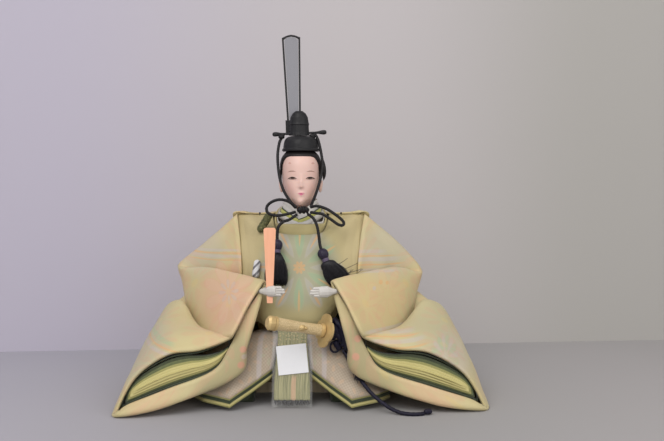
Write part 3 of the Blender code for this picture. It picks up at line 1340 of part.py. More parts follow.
def build():
    clear_scene()
    look = make_materials()
    make_base_block(look["board"])
    make_straw_core(look["straw"])
    make_neck_stick(look["board"])
    make_robe_body(look["silk"])
    make_round_collar(look["collar"])
    make_inner_collar("inner_collar_white", INNER_COLLAR_INSET, INNER_COLLAR_SEAT, look["white"])
    lime_inset, lime_seat = INNER_COLLAR_INSET + INNER_COLLAR_STEP, INNER_COLLAR_SEAT + INNER_COLLAR_LIFT
    make_inner_collar("inner_collar_lime", lime_inset, lime_seat, look["lime"])
    make_collar_toggle(look["braid"])
    make_chest_tab(look["white"])
    make_belt(look["lacquer"])
    for side in (RIGHT, LEFT):
        make_arm(side, look["paper"])
        make_hand(side, look["skin"])
        make_sleeve(side, look["silk"])
        make_cuff(side, look["dark"], look["green"], look["lime"])
        make_panel("trouser_panel", side, 0, look["panel"])
        make_panel("trouser_lining", side, 1, look["dark"])
        make_panel("trouser_underlayer", side, 2, look["lime"])
        make_knee_wadding(side, look["paper"])
    make_head(look["skin"])
    make_hair(look["hair"])
    make_cap(look["lacquer"])
    make_topknot_cover(look["lacquer"])
    make_hairpin(look["lacquer"])
    make_tail(look["lacquer"], look["gauze"])
    tube("chin_cord_right", CHIN_CORD_RIGHT_ROUTE, CORD_RADIUS, look["cord"], steps=2)
    tube("chin_cord_left", CHIN_CORD_LEFT_ROUTE, CORD_RADIUS, look["cord"], steps=2)
    make_bow_knot(look["cord"])
    tube("bow_loop_right", BOW_LOOP_RIGHT_ROUTE, CORD_RADIUS, look["cord"])
    tube("bow_loop_left", BOW_LOOP_LEFT_ROUTE, CORD_RADIUS, look["cord"])
    tube("cord_end_right", CORD_END_RIGHT_ROUTE, CORD_RADIUS, look["cord"])
    tube("cord_end_left", CORD_END_LEFT_ROUTE, CORD_RADIUS, look["cord"])
    make_tassel(RIGHT, CORD_END_RIGHT_ROUTE, TASSEL_LEAN_SHARE[RIGHT], look["cord"])
    make_tassel(LEFT, CORD_END_LEFT_ROUTE, TASSEL_LEAN_SHARE[LEFT], look["cord"])
    make_baton(look["wood"])
    make_sword(look["ivory"], look["gold"], look["lacquer"])
    make_sash(look["sash"], look["film"], look["card"])
    make_navy_cord(look["navy"])
    place_origins()


build()
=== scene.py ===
import math

import bmesh
import bpy
import numpy as np
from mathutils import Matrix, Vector, noise


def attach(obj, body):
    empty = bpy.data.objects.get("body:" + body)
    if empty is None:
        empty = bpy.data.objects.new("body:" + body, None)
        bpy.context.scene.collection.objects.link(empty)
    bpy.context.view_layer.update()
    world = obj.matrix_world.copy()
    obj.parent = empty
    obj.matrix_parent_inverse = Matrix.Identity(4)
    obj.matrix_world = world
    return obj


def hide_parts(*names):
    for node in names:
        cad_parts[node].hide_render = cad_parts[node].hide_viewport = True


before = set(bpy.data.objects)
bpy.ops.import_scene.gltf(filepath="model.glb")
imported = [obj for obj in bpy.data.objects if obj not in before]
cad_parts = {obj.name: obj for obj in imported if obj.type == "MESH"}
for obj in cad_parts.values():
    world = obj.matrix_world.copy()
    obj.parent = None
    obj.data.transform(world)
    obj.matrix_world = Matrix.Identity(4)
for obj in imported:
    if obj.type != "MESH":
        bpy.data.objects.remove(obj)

# Looks of a seated court doll in layered silk. Metres, +Z up, the doll faces -Y
# and its right hand is at -X.

RIGHT, LEFT = -1, 1
SIDE = {RIGHT: "right", LEFT: "left"}
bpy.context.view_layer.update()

# Sizes shared with the solids
HALF_SPAN, REACH, SHOULDER = 0.150, 0.100, 0.160
FLOOR_LIFT = 0.0010
CORE_TOP = 0.146
CHIN, HEAD_TALL = 0.1655, 0.0545
FACE_HALF, FACE_FRONT, HEAD_BACK = 0.0172, 0.0218, 0.0200
CAP_BOTTOM, CAP_TALL, CAP_HALF, CAP_DEEP, CAP_Y = 0.2135, 0.0140, 0.0158, 0.0172, 0.0005
COLLAR_HALF, COLLAR_DEEP, COLLAR_Y = 0.0236, 0.0219, -0.0036
CORD_RADIUS = 0.0012
NAVY_RADIUS = 0.0014


# Node helpers

def put(tree, kind, **settings):
    node = tree.nodes.new(kind)
    for key, value in settings.items():
        setattr(node, key, value)
    return node


def feed(tree, socket, value):
    if isinstance(value, bpy.types.NodeSocket):
        tree.links.new(value, socket)
    else:
        socket.default_value = value


def calc(tree, operation, *values, clamp=False):
    node = put(tree, "ShaderNodeMath", operation=operation, use_clamp=clamp)
    for socket, value in zip(node.inputs, values):
        feed(tree, socket, value)
    return node.outputs[0]


def times(tree, first, *others):
    for other in others:
        first = calc(tree, "MULTIPLY", first, other)
    return first


def plus(tree, first, second, clamp=False):
    return calc(tree, "ADD", first, second, clamp=clamp)


def less(tree, first, second):
    return calc(tree, "SUBTRACT", first, second)


def divided(tree, first, second):
    return calc(tree, "DIVIDE", first, second)


def rest_of(tree, value):
    """What is left of 1."""
    return calc(tree, "SUBTRACT", 1.0, value)


def aim(tree, operation, *values):
    """Vector maths; the scale of SCALE is the second value."""
    node = put(tree, "ShaderNodeVectorMath", operation=operation)
    sockets = [node.inputs[0], node.inputs["Scale"]] if operation == "SCALE" else list(node.inputs)
    for socket, value in zip(sockets, values):
        feed(tree, socket, value)
    return node.outputs["Value"] if operation == "DISTANCE" else node.outputs["Vector"]


def rgb(red, green, blue):
    return (red, green, blue, 1.0)


def tint(tree, share, below, above):
    node = put(tree, "ShaderNodeMix", data_type="RGBA")
    feed(tree, node.inputs[0], share)
    feed(tree, node.inputs[6], below)
    feed(tree, node.inputs[7], above)
    return node.outputs[2]


def washed(tree, base, shade, *shares):
    """The base with a shade laid over it, by the product of the shares."""
    return tint(tree, times(tree, *shares), base, rgb(*shade))


def step_up(tree, value, low, high):
    """0 below low, 1 above high, smooth between."""
    node = put(tree, "ShaderNodeMapRange", interpolation_type="SMOOTHSTEP")
    feed(tree, node.inputs[0], value)
    feed(tree, node.inputs[1], low)
    feed(tree, node.inputs[2], high)
    return node.outputs[0]


def step_down(tree, value, low, high):
    """1 below low, 0 above high, smooth between."""
    return rest_of(tree, step_up(tree, value, low, high))


def soft_spot(tree, place, centre, near, far):
    """1 within near of the centre, 0 past far."""
    return step_down(tree, aim(tree, "DISTANCE", place, centre), near, far)


def parts_of(tree, vector):
    node = put(tree, "ShaderNodeSeparateXYZ")
    feed(tree, node.inputs[0], vector)
    return node.outputs


def joined(tree, x, y, z):
    node = put(tree, "ShaderNodeCombineXYZ")
    for socket, value in zip(node.inputs, (x, y, z)):
        feed(tree, socket, value)
    return node.outputs[0]


def flat_length(tree, x, y):
    return calc(tree, "SQRT", plus(tree, times(tree, x, x), times(tree, y, y)))


def noise_at(tree, place, scale, detail=2.0):
    node = put(tree, "ShaderNodeTexNoise")
    feed(tree, node.inputs["Vector"], place)
    feed(tree, node.inputs["Scale"], scale)
    node.inputs["Detail"].default_value = detail
    return node.outputs[0]


def grains_at(tree, place, per_metre):
    """How far each place is from the middle of its small grain."""
    node = put(tree, "ShaderNodeTexVoronoi")
    feed(tree, node.inputs["Vector"], place)
    node.inputs["Scale"].default_value = per_metre
    return node.outputs["Distance"]


# Effects that several finishes share

class Effect:
    """A shader node group with named sockets."""

    def __init__(self, name, takes, gives):
        self.tree = bpy.data.node_groups.new(name, "ShaderNodeTree")
        for label, kind, value in takes:
            socket = self.tree.interface.new_socket(label, in_out="INPUT", socket_type="NodeSocket" + kind)
            if value is not None:
                socket.default_value = value
        for label in gives:
            self.tree.interface.new_socket(label, in_out="OUTPUT", socket_type="NodeSocketFloat")
        self.inlet = put(self.tree, "NodeGroupInput")
        self.outlet = put(self.tree, "NodeGroupOutput")

    def taken(self, label):
        return self.inlet.outputs[label]

    def give(self, **values):
        for label, value in values.items():
            feed(self.tree, self.outlet.inputs[label], value)
        return self

    def place(self, tree, **values):
        node = put(tree, "ShaderNodeGroup", node_tree=self.tree)
        for label, value in values.items():
            feed(tree, node.inputs[label.replace("_", " ")], value)
        return node.outputs


PLACE = ("Place", "Vector", None)
FINE_NOISE = 9.0
PETAL_TAPER = .45


def make_mottle():
    """Soft uneven tone of dyed silk or worn paint."""
    effect = Effect("mottle", [PLACE, ("Size", "Float", .02), ("Strength", "Float", 1.0)], ["Tone", "Fine"])
    tree = effect.tree
    scale = divided(tree, 1.0, effect.taken("Size"))
    wide = noise_at(tree, effect.taken("Place"), scale, 3.0)
    swing = times(tree, less(tree, wide, .5), effect.taken("Strength"))
    return effect.give(Tone=plus(tree, swing, .5, clamp=True),
                       Fine=noise_at(tree, effect.taken("Place"), times(tree, scale, FINE_NOISE)))


def make_weave():
    """Over and under of warp and weft."""
    effect = Effect("woven threads", [PLACE, ("Thread", "Float", .0006)], ["Height", "Warp"])
    tree = effect.tree
    scaled = aim(tree, "SCALE", effect.taken("Place"), divided(tree, math.pi, effect.taken("Thread")))
    x, y, _ = parts_of(tree, scaled)
    warp, weft = (calc(tree, "ABSOLUTE", calc(tree, "SINE", run)) for run in (x, y))
    half, other = (calc(tree, "SINE", times(tree, run, .5)) for run in (x, y))
    share = step_up(tree, times(tree, half, other), -.25, .25)
    height = plus(tree, times(tree, warp, share), times(tree, weft, rest_of(tree, share)))
    return effect.give(Height=height, Warp=share)


def petal_mask(tree, around, radius, count, middle, half_length, half_width):
    """Teardrop petals round a centre: their mask, each petal's own number and their edge."""
    turned = times(tree, plus(tree, divided(tree, around, 2 * math.pi), .5), count)
    number = calc(tree, "FLOOR", turned)
    off = less(tree, calc(tree, "FRACT", turned), .5)
    lateral = times(tree, divided(tree, times(tree, off, 2 * math.pi), count), radius)
    run = divided(tree, less(tree, radius, middle), half_length)
    swell = calc(tree, "MAXIMUM", plus(tree, 1.0, times(tree, run, PETAL_TAPER)), .2)
    wide = divided(tree, lateral, times(tree, half_width, swell))
    reach = flat_length(tree, wide, run)
    mask = step_down(tree, reach, .78, 1.0)
    return mask, number, times(tree, step_up(tree, reach, .70, .88), mask)


def make_rosette():
    """One round flower at a place, with petals of a given count."""
    sizes = [("Count", 12.0), ("Middle", .02), ("Half Length", .015), ("Half Width", .004), ("Turn", 0.0)]
    inputs = [(label, "Float", value) for label, value in sizes]
    effect = Effect("rosette", [PLACE, ("Centre", "Vector", None)] + inputs,
                    ["Petals", "Number", "Edge", "Radius"])
    tree = effect.tree
    x, y, _ = parts_of(tree, aim(tree, "SUBTRACT", effect.taken("Place"), effect.taken("Centre")))
    radius = flat_length(tree, x, y)
    around = plus(tree, calc(tree, "ARCTAN2", y, x), effect.taken("Turn"))
    around = calc(tree, "WRAP", around, math.pi, -math.pi)
    mask, number, edge = petal_mask(tree, around, radius, effect.taken("Count"), effect.taken("Middle"),
                                    effect.taken("Half Length"), effect.taken("Half Width"))
    return effect.give(Petals=mask, Number=number, Edge=edge, Radius=radius)


def make_blossoms():
    """Round flowers strewn over the cloth, each with its own tint."""
    effect = Effect("strewn blossoms", [PLACE, ("Spacing", "Float", .05), ("Count", "Float", 9.0)],
                    ["Petals", "Number", "Flower", "Edge", "Eye"])
    tree = effect.tree
    scaled = aim(tree, "SCALE", effect.taken("Place"), divided(tree, 1.0, effect.taken("Spacing")))
    cells = put(tree, "ShaderNodeTexVoronoi", voronoi_dimensions="2D")
    feed(tree, cells.inputs["Vector"], scaled)
    cells.inputs["Scale"].default_value = 1.0
    cells.inputs["Randomness"].default_value = .55
    x, y, _ = parts_of(tree, aim(tree, "SUBTRACT", scaled, cells.outputs["Position"]))
    radius = flat_length(tree, x, y)
    around = calc(tree, "ARCTAN2", y, x)
    mask, number, edge = petal_mask(tree, around, radius, effect.taken("Count"), .30, .17, .075)
    return effect.give(Petals=mask, Number=number, Flower=parts_of(tree, cells.outputs["Color"])[0], Edge=edge,
                       Eye=step_down(tree, radius, .06, .09))


def make_bands():
    """Swaying stripes, as in a stream pattern."""
    effect = Effect("stream bands", [PLACE, ("Period", "Float", .06), ("Sway", "Float", .012)],
                    ["Broad", "Thin", "Field"])
    tree = effect.tree
    x, y, _ = parts_of(tree, effect.taken("Place"))
    wave = calc(tree, "SINE", times(tree, x, 38.0))
    slow = calc(tree, "SINE", plus(tree, times(tree, x, 17.0), times(tree, y, 9.0)))
    sway = times(tree, plus(tree, wave, slow), effect.taken("Sway"))
    share = calc(tree, "FRACT", divided(tree, plus(tree, y, sway), effect.taken("Period")))

    def stripe(low, high, soft=.012):
        return times(tree, step_up(tree, share, low - soft, low + soft),
                     step_down(tree, share, high - soft, high + soft))

    return effect.give(Broad=plus(tree, stripe(.06, .14), stripe(.26, .32), clamp=True),
                       Thin=plus(tree, stripe(.165, .185), stripe(.345, .36), clamp=True),
                       Field=stripe(.06, .36, .05))


def make_strands():
    """Fine lines along the second direction, for hair and thread."""
    effect = Effect("strand lines", [PLACE, ("Fineness", "Float", .0004), ("Stretch", "Float", 30.0)],
                    ["Tone", "Height"])
    tree = effect.tree
    x, y, z = parts_of(tree, effect.taken("Place"))
    scale = divided(tree, 1.0, effect.taken("Fineness"))
    long_scale = divided(tree, scale, effect.taken("Stretch"))
    drawn = joined(tree, times(tree, x, scale), times(tree, y, long_scale), times(tree, z, scale))
    lines = noise_at(tree, drawn, 1.0)
    return effect.give(Tone=step_up(tree, lines, .35, .65), Height=lines)


MOTTLE = make_mottle()
WEAVE = make_weave()
ROSETTE = make_rosette()
BLOSSOMS = make_blossoms()
BANDS = make_bands()
STRANDS = make_strands()


# Finishes

class Finish:
    """A material and its Principled shader."""

    def __init__(self, name, roughness=.6, metallic=0.0, sheen=0.0, coat=0.0, shine=None):
        self.material = bpy.data.materials.new(name)
        self.material.use_nodes = True
        self.tree = self.material.node_tree
        self.shader = self.tree.nodes["Principled BSDF"]
        for label, value in (("Roughness", roughness), ("Metallic", metallic), ("Sheen Weight", sheen),
                             ("Sheen Roughness", .4), ("Coat Weight", coat)):
            self.shader.inputs[label].default_value = value
        if shine is not None:
            self.shader.inputs["Specular IOR Level"].default_value = shine

    def on_cloth(self):
        """Places along the cloth itself, in metres."""
        return put(self.tree, "ShaderNodeUVMap", uv_map="cloth").outputs[0]

    def on_solid(self):
        return put(self.tree, "ShaderNodeTexCoord").outputs["Object"]

    def mottle(self, place, size, strength):
        return MOTTLE.place(self.tree, Place=place, Size=size, Strength=strength)

    def weave(self, place, thread):
        return WEAVE.place(self.tree, Place=place, Thread=thread)

    def between(self, share, dark, light):
        return tint(self.tree, share, rgb(*dark), rgb(*light))

    def colour(self, value):
        feed(self.tree, self.shader.inputs["Base Color"], value)

    def uneven_roughness(self, fine):
        low, swing = .34, .25
        feed(self.tree, self.shader.inputs["Roughness"], plus(self.tree, low, times(self.tree, fine, swing)))

    def bump(self, height, depth, strength):
        node = put(self.tree, "ShaderNodeBump")
        node.inputs["Strength"].default_value = strength
        node.inputs["Distance"].default_value = depth
        feed(self.tree, node.inputs["Height"], height)
        feed(self.tree, self.shader.inputs["Normal"], node.outputs[0])
        return self.material


# Widths of one woven thread, and how far silk threads stand out
FINE_THREAD, PLAIN_THREAD, BROAD_THREAD = .0006, .0008, .0016
SILK_RELIEF = .00014


def woven_finish(name, light, dark, thread, on_cloth=False, roughness=.62, sheen=.15, depth=.00012):
    """Plain woven silk with a soft uneven tone."""
    made = Finish(name, roughness, sheen=sheen)
    where = made.on_cloth() if on_cloth else made.on_solid()
    threads = made.weave(where, thread)
    base = made.between(made.mottle(where, .03, 1.3)["Tone"], dark, light)
    made.colour(washed(made.tree, base, dark, threads["Warp"], .16))
    return made.bump(threads["Height"], depth, .5)


SILK_LIGHT, SILK_DARK = (.58, .51, .28), (.50, .42, .20)
PEACH, PINK, MINT = (.63, .41, .245), (.66, .27, .20), (.34, .47, .27)
LILAC, YELLOW, ORANGE = (.50, .45, .42), (.66, .50, .18), (.66, .36, .14)
# The last colour here is painted shade for the sleeves' lower inner corners.
HAZE, STRAW_GOLD, PAINTED_SHADE = (.47, .43, .34), (.62, .46, .22), (.30, .27, .15)

# Painted motifs of each sleeve, measured outward and up. Clouds: place, reach, tint, share; the dark olive
# clouds low on the inner side and at the lower inner corner are painted shade
CLOUDS = {
    RIGHT: [((.064, .086), .036, PEACH, .85), ((.130, .050), .034, (.44, .42, .30), .6),
            # Painted shade: the dark olive cloud at (.046, .040) and the cloud at (.064, .012).
            ((.092, .128), .034, HAZE, .6), ((.046, .040), .028, (.38, .33, .18), .85),
            ((.064, .012), .026, PAINTED_SHADE, .8), ((.118, .014), .024, PEACH, .4)],
    LEFT: [((.066, .088), .036, STRAW_GOLD, .55), ((.110, .060), .030, (.46, .44, .28), .6),
           # Painted shade: the dark olive cloud at (.046, .046) and the cloud at (.062, .012).
           ((.125, .040), .026, LILAC, .5), ((.046, .046), .030, (.36, .31, .165), .9),
           ((.110, .016), .030, PEACH, .5), ((.080, .128), .036, (.47, .44, .33), .65),
           ((.062, .012), .026, PAINTED_SHADE, .7)],
}
# Stream bands: height, half width, start, end, tint
STREAMS = {
    RIGHT: [(.1275, .0011, .050, .112, LILAC), (.1250, .0007, .046, .106, ORANGE),
            (.1222, .0013, .040, .104, LILAC),
            (.1190, .0006, .040, .104, ORANGE), (.0560, .0016, .096, .150, MINT),
            (.0520, .0007, .090, .150, ORANGE),
            (.0490, .0013, .084, .150, LILAC)],
    LEFT: [(.1265, .0016, .040, .080, LILAC), (.1225, .0006, .040, .088, ORANGE),
           (.1195, .0018, .040, .092, LILAC),
           (.1150, .0008, .040, .096, ORANGE), (.1105, .0012, .040, .090, LILAC),
           (.0655, .0014, .052, .100, LILAC),
           (.0625, .0006, .052, .104, ORANGE), (.0590, .0016, .056, .108, LILAC),
           (.0545, .0008, .060, .110, ORANGE)],
}
# Flowers: place, petals, middle, half length, half width, turn, tint
FLOWERS = {
    RIGHT: [((.0590, .0940), 8.0, .0150, .0120, .0050, .2, (.66, .42, .30)),
            ((.0590, .0940), 8.0, .0060, .0042, .0016, .6, LILAC)],
    LEFT: [((.1200, .0450), 8.0, .0082, .0062, .0027, .1, MINT),
            ((.1200, .0450), 8.0, .0088, .0056, .0020, .49, LILAC),
           ((.0760, .0900), 8.0, .0120, .0090, .0036, .1, (.62, .46, .24))],
}
# Single spots: place, radius, tint
SPOTS = {
    RIGHT: [((.0440, .0510), .0034, PINK), ((.0455, .0385), .0036, PINK), ((.0432, .0450), .0026, LILAC)],
    LEFT: [((.0490, .0590), .0036, PINK), ((.0473, .0450), .0038, PINK), ((.0700, .1000), .0024, ORANGE),
           ((.0760, .0990), .0020, ORANGE), ((.0640, .0960), .0020, LILAC)],
}
# Waves of the stream bands: turns per metre and height
STREAM_WAVES = ((90.0, .0011), (31.0, .0022))
STREAM_FADE_IN, STREAM_FADE_OUT = .008, .010


def flower_at(made, flat, centre, count, middle, length, width, turn):
    return ROSETTE.place(made.tree, Place=flat, Centre=centre, Count=count, Middle=middle, Half_Length=length,
                         Half_Width=width, Turn=turn)


def robe_finish(name, side):
    """Patterned robe silk: flowers, stream bands and soft clouds of tint, the darkest of them painted shade."""
    made = Finish(name, .60, sheen=.12)
    tree = made.tree
    cloth = made.on_cloth()
    x, _, z = parts_of(tree, made.on_solid())
    out = times(tree, x, float(side))
    flat = joined(tree, out, z, 0.0)
    base = made.between(made.mottle(cloth, .05, 1.5)["Tone"], SILK_DARK, SILK_LIGHT)
    drift = step_up(tree, made.mottle(flat, .030, 2.4)["Tone"], .50, .85)
    base = washed(tree, base, PEACH, drift, .35)
    # Soft clouds of tint; the darkest, low on the inner side, are painted shade.
    for (across, up), reach, shade, share in CLOUDS[side]:
        base = washed(tree, base, shade, soft_spot(tree, flat, (across, up, 0.0), reach * .35, reach), share)
    level = z
    for turns, height in STREAM_WAVES:
        level = plus(tree, level, times(tree, calc(tree, "SINE", times(tree, out, turns)), height))
    for height, half, start, end, shade in STREAMS[side]:
        off = calc(tree, "ABSOLUTE", less(tree, level, height))
        base = washed(tree, base, shade, step_down(tree, off, half * .55, half * 1.25),
                      step_up(tree, out, start, start + STREAM_FADE_IN),
                      step_down(tree, out, end - STREAM_FADE_OUT, end), .55)
    for (across, up), count, middle, length, width, turn, shade in FLOWERS[side]:
        petals = flower_at(made, flat, (across, up, 0.0), count, middle, length, width, turn)
        base = washed(tree, base, shade, petals["Petals"], .42)
        base = washed(tree, base, (.60, .34, .20), petals["Edge"], .38)
    for (across, up), reach, shade in SPOTS[side]:
        base = washed(tree, base, shade, soft_spot(tree, flat, (across, up, 0.0), reach * .55, reach), .6)
    flowers = BLOSSOMS.place(tree, Place=cloth, Spacing=.052, Count=9.0)
    base = washed(tree, base, PINK, flowers["Petals"], .14)
    base = washed(tree, base, YELLOW, flowers["Eye"], .25)
    threads = made.weave(cloth, FINE_THREAD)
    made.colour(washed(tree, base, SILK_DARK, threads["Warp"], .10))
    return made.bump(threads["Height"], SILK_RELIEF, .5)


# Rings of the chest's large flower: petals, middle, half length, half width, turn, tint
CHEST_FLOWER = (.0000, .1130, 0.0)
CHEST_RINGS = ((6.0, .0215, .0150, .0046, 0.0, (.27, .40, .24)),
               (6.0, .0235, .0155, .0042, .5236, (.40, .385, .35)),
               (12.0, .0270, .0100, .0011, .2618, ORANGE), (8.0, .0030, .0028, .0013, .0, ORANGE))


def chest_finish():
    """Olive-cream silk of the chest, with one large round flower."""
    made = Finish("chest_silk", .62, sheen=.12)
    tree = made.tree
    x, y, z = parts_of(tree, made.on_solid())
    flat = joined(tree, x, z, 0.0)
    cloth = made.on_cloth()
    base = made.between(made.mottle(cloth, .05, 1.4)["Tone"], (.37, .315, .15), (.46, .395, .19))
    base = washed(tree, base, (.54, .44, .24), step_up(tree, calc(tree, "ABSOLUTE", x), .022, .046), .6)
    front = step_down(tree, y, -.030, -.020)
    base = washed(tree, base, (.34, .35, .25), soft_spot(tree, flat, CHEST_FLOWER, .026, .040), front, .80)
    for count, middle, length, width, turn, shade in CHEST_RINGS:
        petals = flower_at(made, flat, CHEST_FLOWER, count, middle, length, width, turn)
        base = washed(tree, base, shade, petals["Petals"], front, .60)
        base = washed(tree, base, (.50, .40, .22), petals["Edge"], front, .22)
    threads = made.weave(cloth, FINE_THREAD)
    made.colour(washed(tree, base, (.38, .32, .16), threads["Warp"], .12))
    return made.bump(threads["Height"], SILK_RELIEF, .55)


def panel_finish():
    """Grey-beige knee cloth: a small woven figure and faint motifs."""
    made = Finish("knee_cloth", .72, sheen=.1)
    tree = made.tree
    cloth = made.on_cloth()
    threads = made.weave(cloth, PLAIN_THREAD)
    base = made.between(made.mottle(cloth, .03, 1.4)["Tone"], (.38, .31, .23), (.50, .42, .32))
    base = washed(tree, base, (.28, .22, .16), threads["Warp"], .32)
    spots = BLOSSOMS.place(tree, Place=cloth, Spacing=.022, Count=5.0)
    base = washed(tree, base, PEACH, spots["Petals"], step_up(tree, spots["Flower"], .45, .55), .30)
    base = washed(tree, base, (.38, .42, .28), spots["Petals"], step_up(tree, spots["Flower"], .30, .20), .35)
    bands = BANDS.place(tree, Place=cloth, Period=.075, Sway=.004)
    made.colour(washed(tree, base, (.52, .50, .54), bands["Broad"], .35))
    return made.bump(threads["Height"], .00022, .6)


def skin_finish():
    """Shell-white paint, polished, with a breath of pink on cheeks and ears."""
    made = Finish("shell_white", .48, coat=.06)
    tree = made.tree
    solid = made.on_solid()
    tone = made.mottle(solid, .012, .8)
    base = made.between(tone["Tone"], (.68, .455, .385), (.72, .50, .43))
    for side in (RIGHT, LEFT):
        cheek = (.0010 + side * .0105, -.0175, .1800)
        base = washed(tree, base, (.76, .40, .33), soft_spot(tree, solid, cheek, .002, .0095), .22)
    ears = step_up(tree, calc(tree, "ABSOLUTE", parts_of(tree, solid)[0]), .0166, .0180)
    made.colour(washed(tree, base, (.74, .42, .33), ears, .5))
    made.shader.inputs["Subsurface Weight"].default_value = .08
    made.shader.inputs["Subsurface Radius"].default_value = (.004, .002, .001)
    return made.bump(tone["Fine"], .00004, .3)


def hair_finish():
    made = Finish("black_silk_hair", .46, shine=.25)
    lines = STRANDS.place(made.tree, Place=made.on_cloth(), Fineness=.00035, Stretch=40.0)
    made.colour(made.between(lines["Tone"], (.004, .004, .004), (.022, .019, .018)))
    return made.bump(lines["Height"], .00012, .8)


def lacquer_finish():
    """Black lacquered gauze with its small grain."""
    mesh_size = .0007
    made = Finish("black_lacquered_gauze", .50, coat=.05, shine=.22)
    tree = made.tree
    where = made.on_solid()
    grains = grains_at(tree, where, 1.0 / mesh_size)
    tone = made.mottle(where, .006, 1.5)
    base = made.between(tone["Tone"], (.004, .004, .005), (.010, .010, .011))
    made.colour(washed(tree, base, (.018, .018, .019), step_up(tree, grains, .25, .55)))
    made.uneven_roughness(tone["Fine"])
    return made.bump(grains, .00018, .6)


def gauze_finish():
    """Grey stiffened gauze, woven on the slant."""
    made = Finish("grey_gauze", .7)
    tree = made.tree
    x, _, z = parts_of(tree, made.on_solid())
    threads = made.weave(joined(tree, plus(tree, x, z), less(tree, x, z), 0.0), PLAIN_THREAD)
    made.colour(made.between(times(tree, threads["Height"], .6), (.20, .20, .22), (.33, .33, .35)))
    return made.bump(threads["Height"], .0001, .6)


def thread_finish(name, dark, light, roughness=.5, fineness=.0003):
    """Fine thread or paint: two close tones and a slight grain."""
    made = Finish(name, roughness, sheen=.04, shine=.28)
    tone = made.mottle(made.on_solid(), .0015, 2.0)
    made.colour(made.between(tone["Tone"], dark, light))
    return made.bump(tone["Fine"], fineness * .3, .5)


def wood_finish(name, light, dark, size=.004, roughness=.5):
    """Upright grain."""
    made = Finish(name, roughness)
    x, y, z = parts_of(made.tree, made.on_solid())
    tone = made.mottle(joined(made.tree, x, y, times(made.tree, z, .12)), size, 2.2)
    made.colour(made.between(tone["Tone"], dark, light))
    return made.bump(tone["Fine"], .00008, .4)


def gold_finish():
    made = Finish("pale_gold", .42, metallic=.45)
    solid = made.on_solid()
    tone = made.mottle(solid, .005, 1.8)
    made.colour(made.between(tone["Tone"], (.52, .36, .15), (.66, .50, .24)))
    made.uneven_roughness(tone["Fine"])
    return made.bump(grains_at(made.tree, solid, 1100.0), .00010, .35)


def ivory_finish():
    """Ray-skin grip under clear lacquer: small pale beads."""
    made = Finish("ivory_grip", .38, coat=.3)
    solid = made.on_solid()
    beads = grains_at(made.tree, solid, 1300.0)
    base = made.between(made.mottle(solid, .008, 1.4)["Tone"], (.58, .43, .21), (.68, .54, .31))
    made.colour(washed(made.tree, base, (.48, .36, .18), step_up(made.tree, beads, .35, .6)))
    return made.bump(beads, .00008, .4)


def sash_finish():
    """Olive brocade ribbon: warp lines, a salmon stripe, gold flecks above."""
    made = Finish("olive_brocade", .66, sheen=.2)
    tree = made.tree
    cloth = made.on_cloth()
    across, down, _ = parts_of(tree, cloth)
    lines = STRANDS.place(tree, Place=cloth, Fineness=.0005, Stretch=60.0)
    base = made.between(lines["Tone"], (.15, .15, .055), (.34, .32, .15))
    stripe = times(tree, step_up(tree, across, .0138, .0146), step_down(tree, across, .0176, .0184))
    base = washed(tree, base, (.56, .34, .20), stripe, step_up(tree, down, .036, .042), .7)
    flecks = BLOSSOMS.place(tree, Place=cloth, Spacing=.0065, Count=4.0)
    high = step_down(tree, down, .016, .021)
    base = washed(tree, base, (.52, .40, .20), flecks["Petals"], high, .7)
    made.colour(washed(tree, base, (.09, .12, .04), flecks["Eye"], high, .8))
    return made.bump(plus(tree, lines["Height"], times(tree, flecks["Petals"], high, .8)), .0003, .7)


def film_finish():
    """Thin clear film with a faint haze."""
    made = Finish("clear_film", .09)
    made.shader.inputs["Base Color"].default_value = (.92, .93, .90, 1.0)
    made.shader.inputs["IOR"].default_value = 1.45
    made.shader.inputs["Alpha"].default_value = .07
    return made.bump(made.mottle(made.on_solid(), .012, 1.0)["Tone"], .0006, .35)


def card_finish():
    made = Finish("plain_card", .55)
    tone = made.mottle(made.on_solid(), .004, .8)
    made.colour(made.between(tone["Tone"], (.70, .71, .73), (.76, .77, .79)))
    return made.bump(tone["Fine"], .00004, .3)


def straw_finish():
    made = Finish("straw", .8)
    tree = made.tree
    x, y, z = parts_of(tree, made.on_solid())
    round_stalk = joined(tree, calc(tree, "ARCTAN2", y, x), z, 0.0)
    lines = STRANDS.place(tree, Place=round_stalk, Fineness=.02, Stretch=.5)
    made.colour(made.between(lines["Tone"], (.36, .26, .10), (.62, .50, .26)))
    return made.bump(lines["Height"], .0006, .8)


def striped_tab_finish():
    """White ribbon with slanting grey stripes."""
    made = Finish("striped_ribbon", .6)
    tree = made.tree
    x, _, z = parts_of(tree, made.on_solid())
    slant = plus(tree, times(tree, x, 900.0), times(tree, z, -900.0))
    stripes = step_up(tree, calc(tree, "SINE", slant), .25, .6)
    made.colour(made.between(stripes, (.62, .62, .62), (.16, .16, .17)))
    return made.material


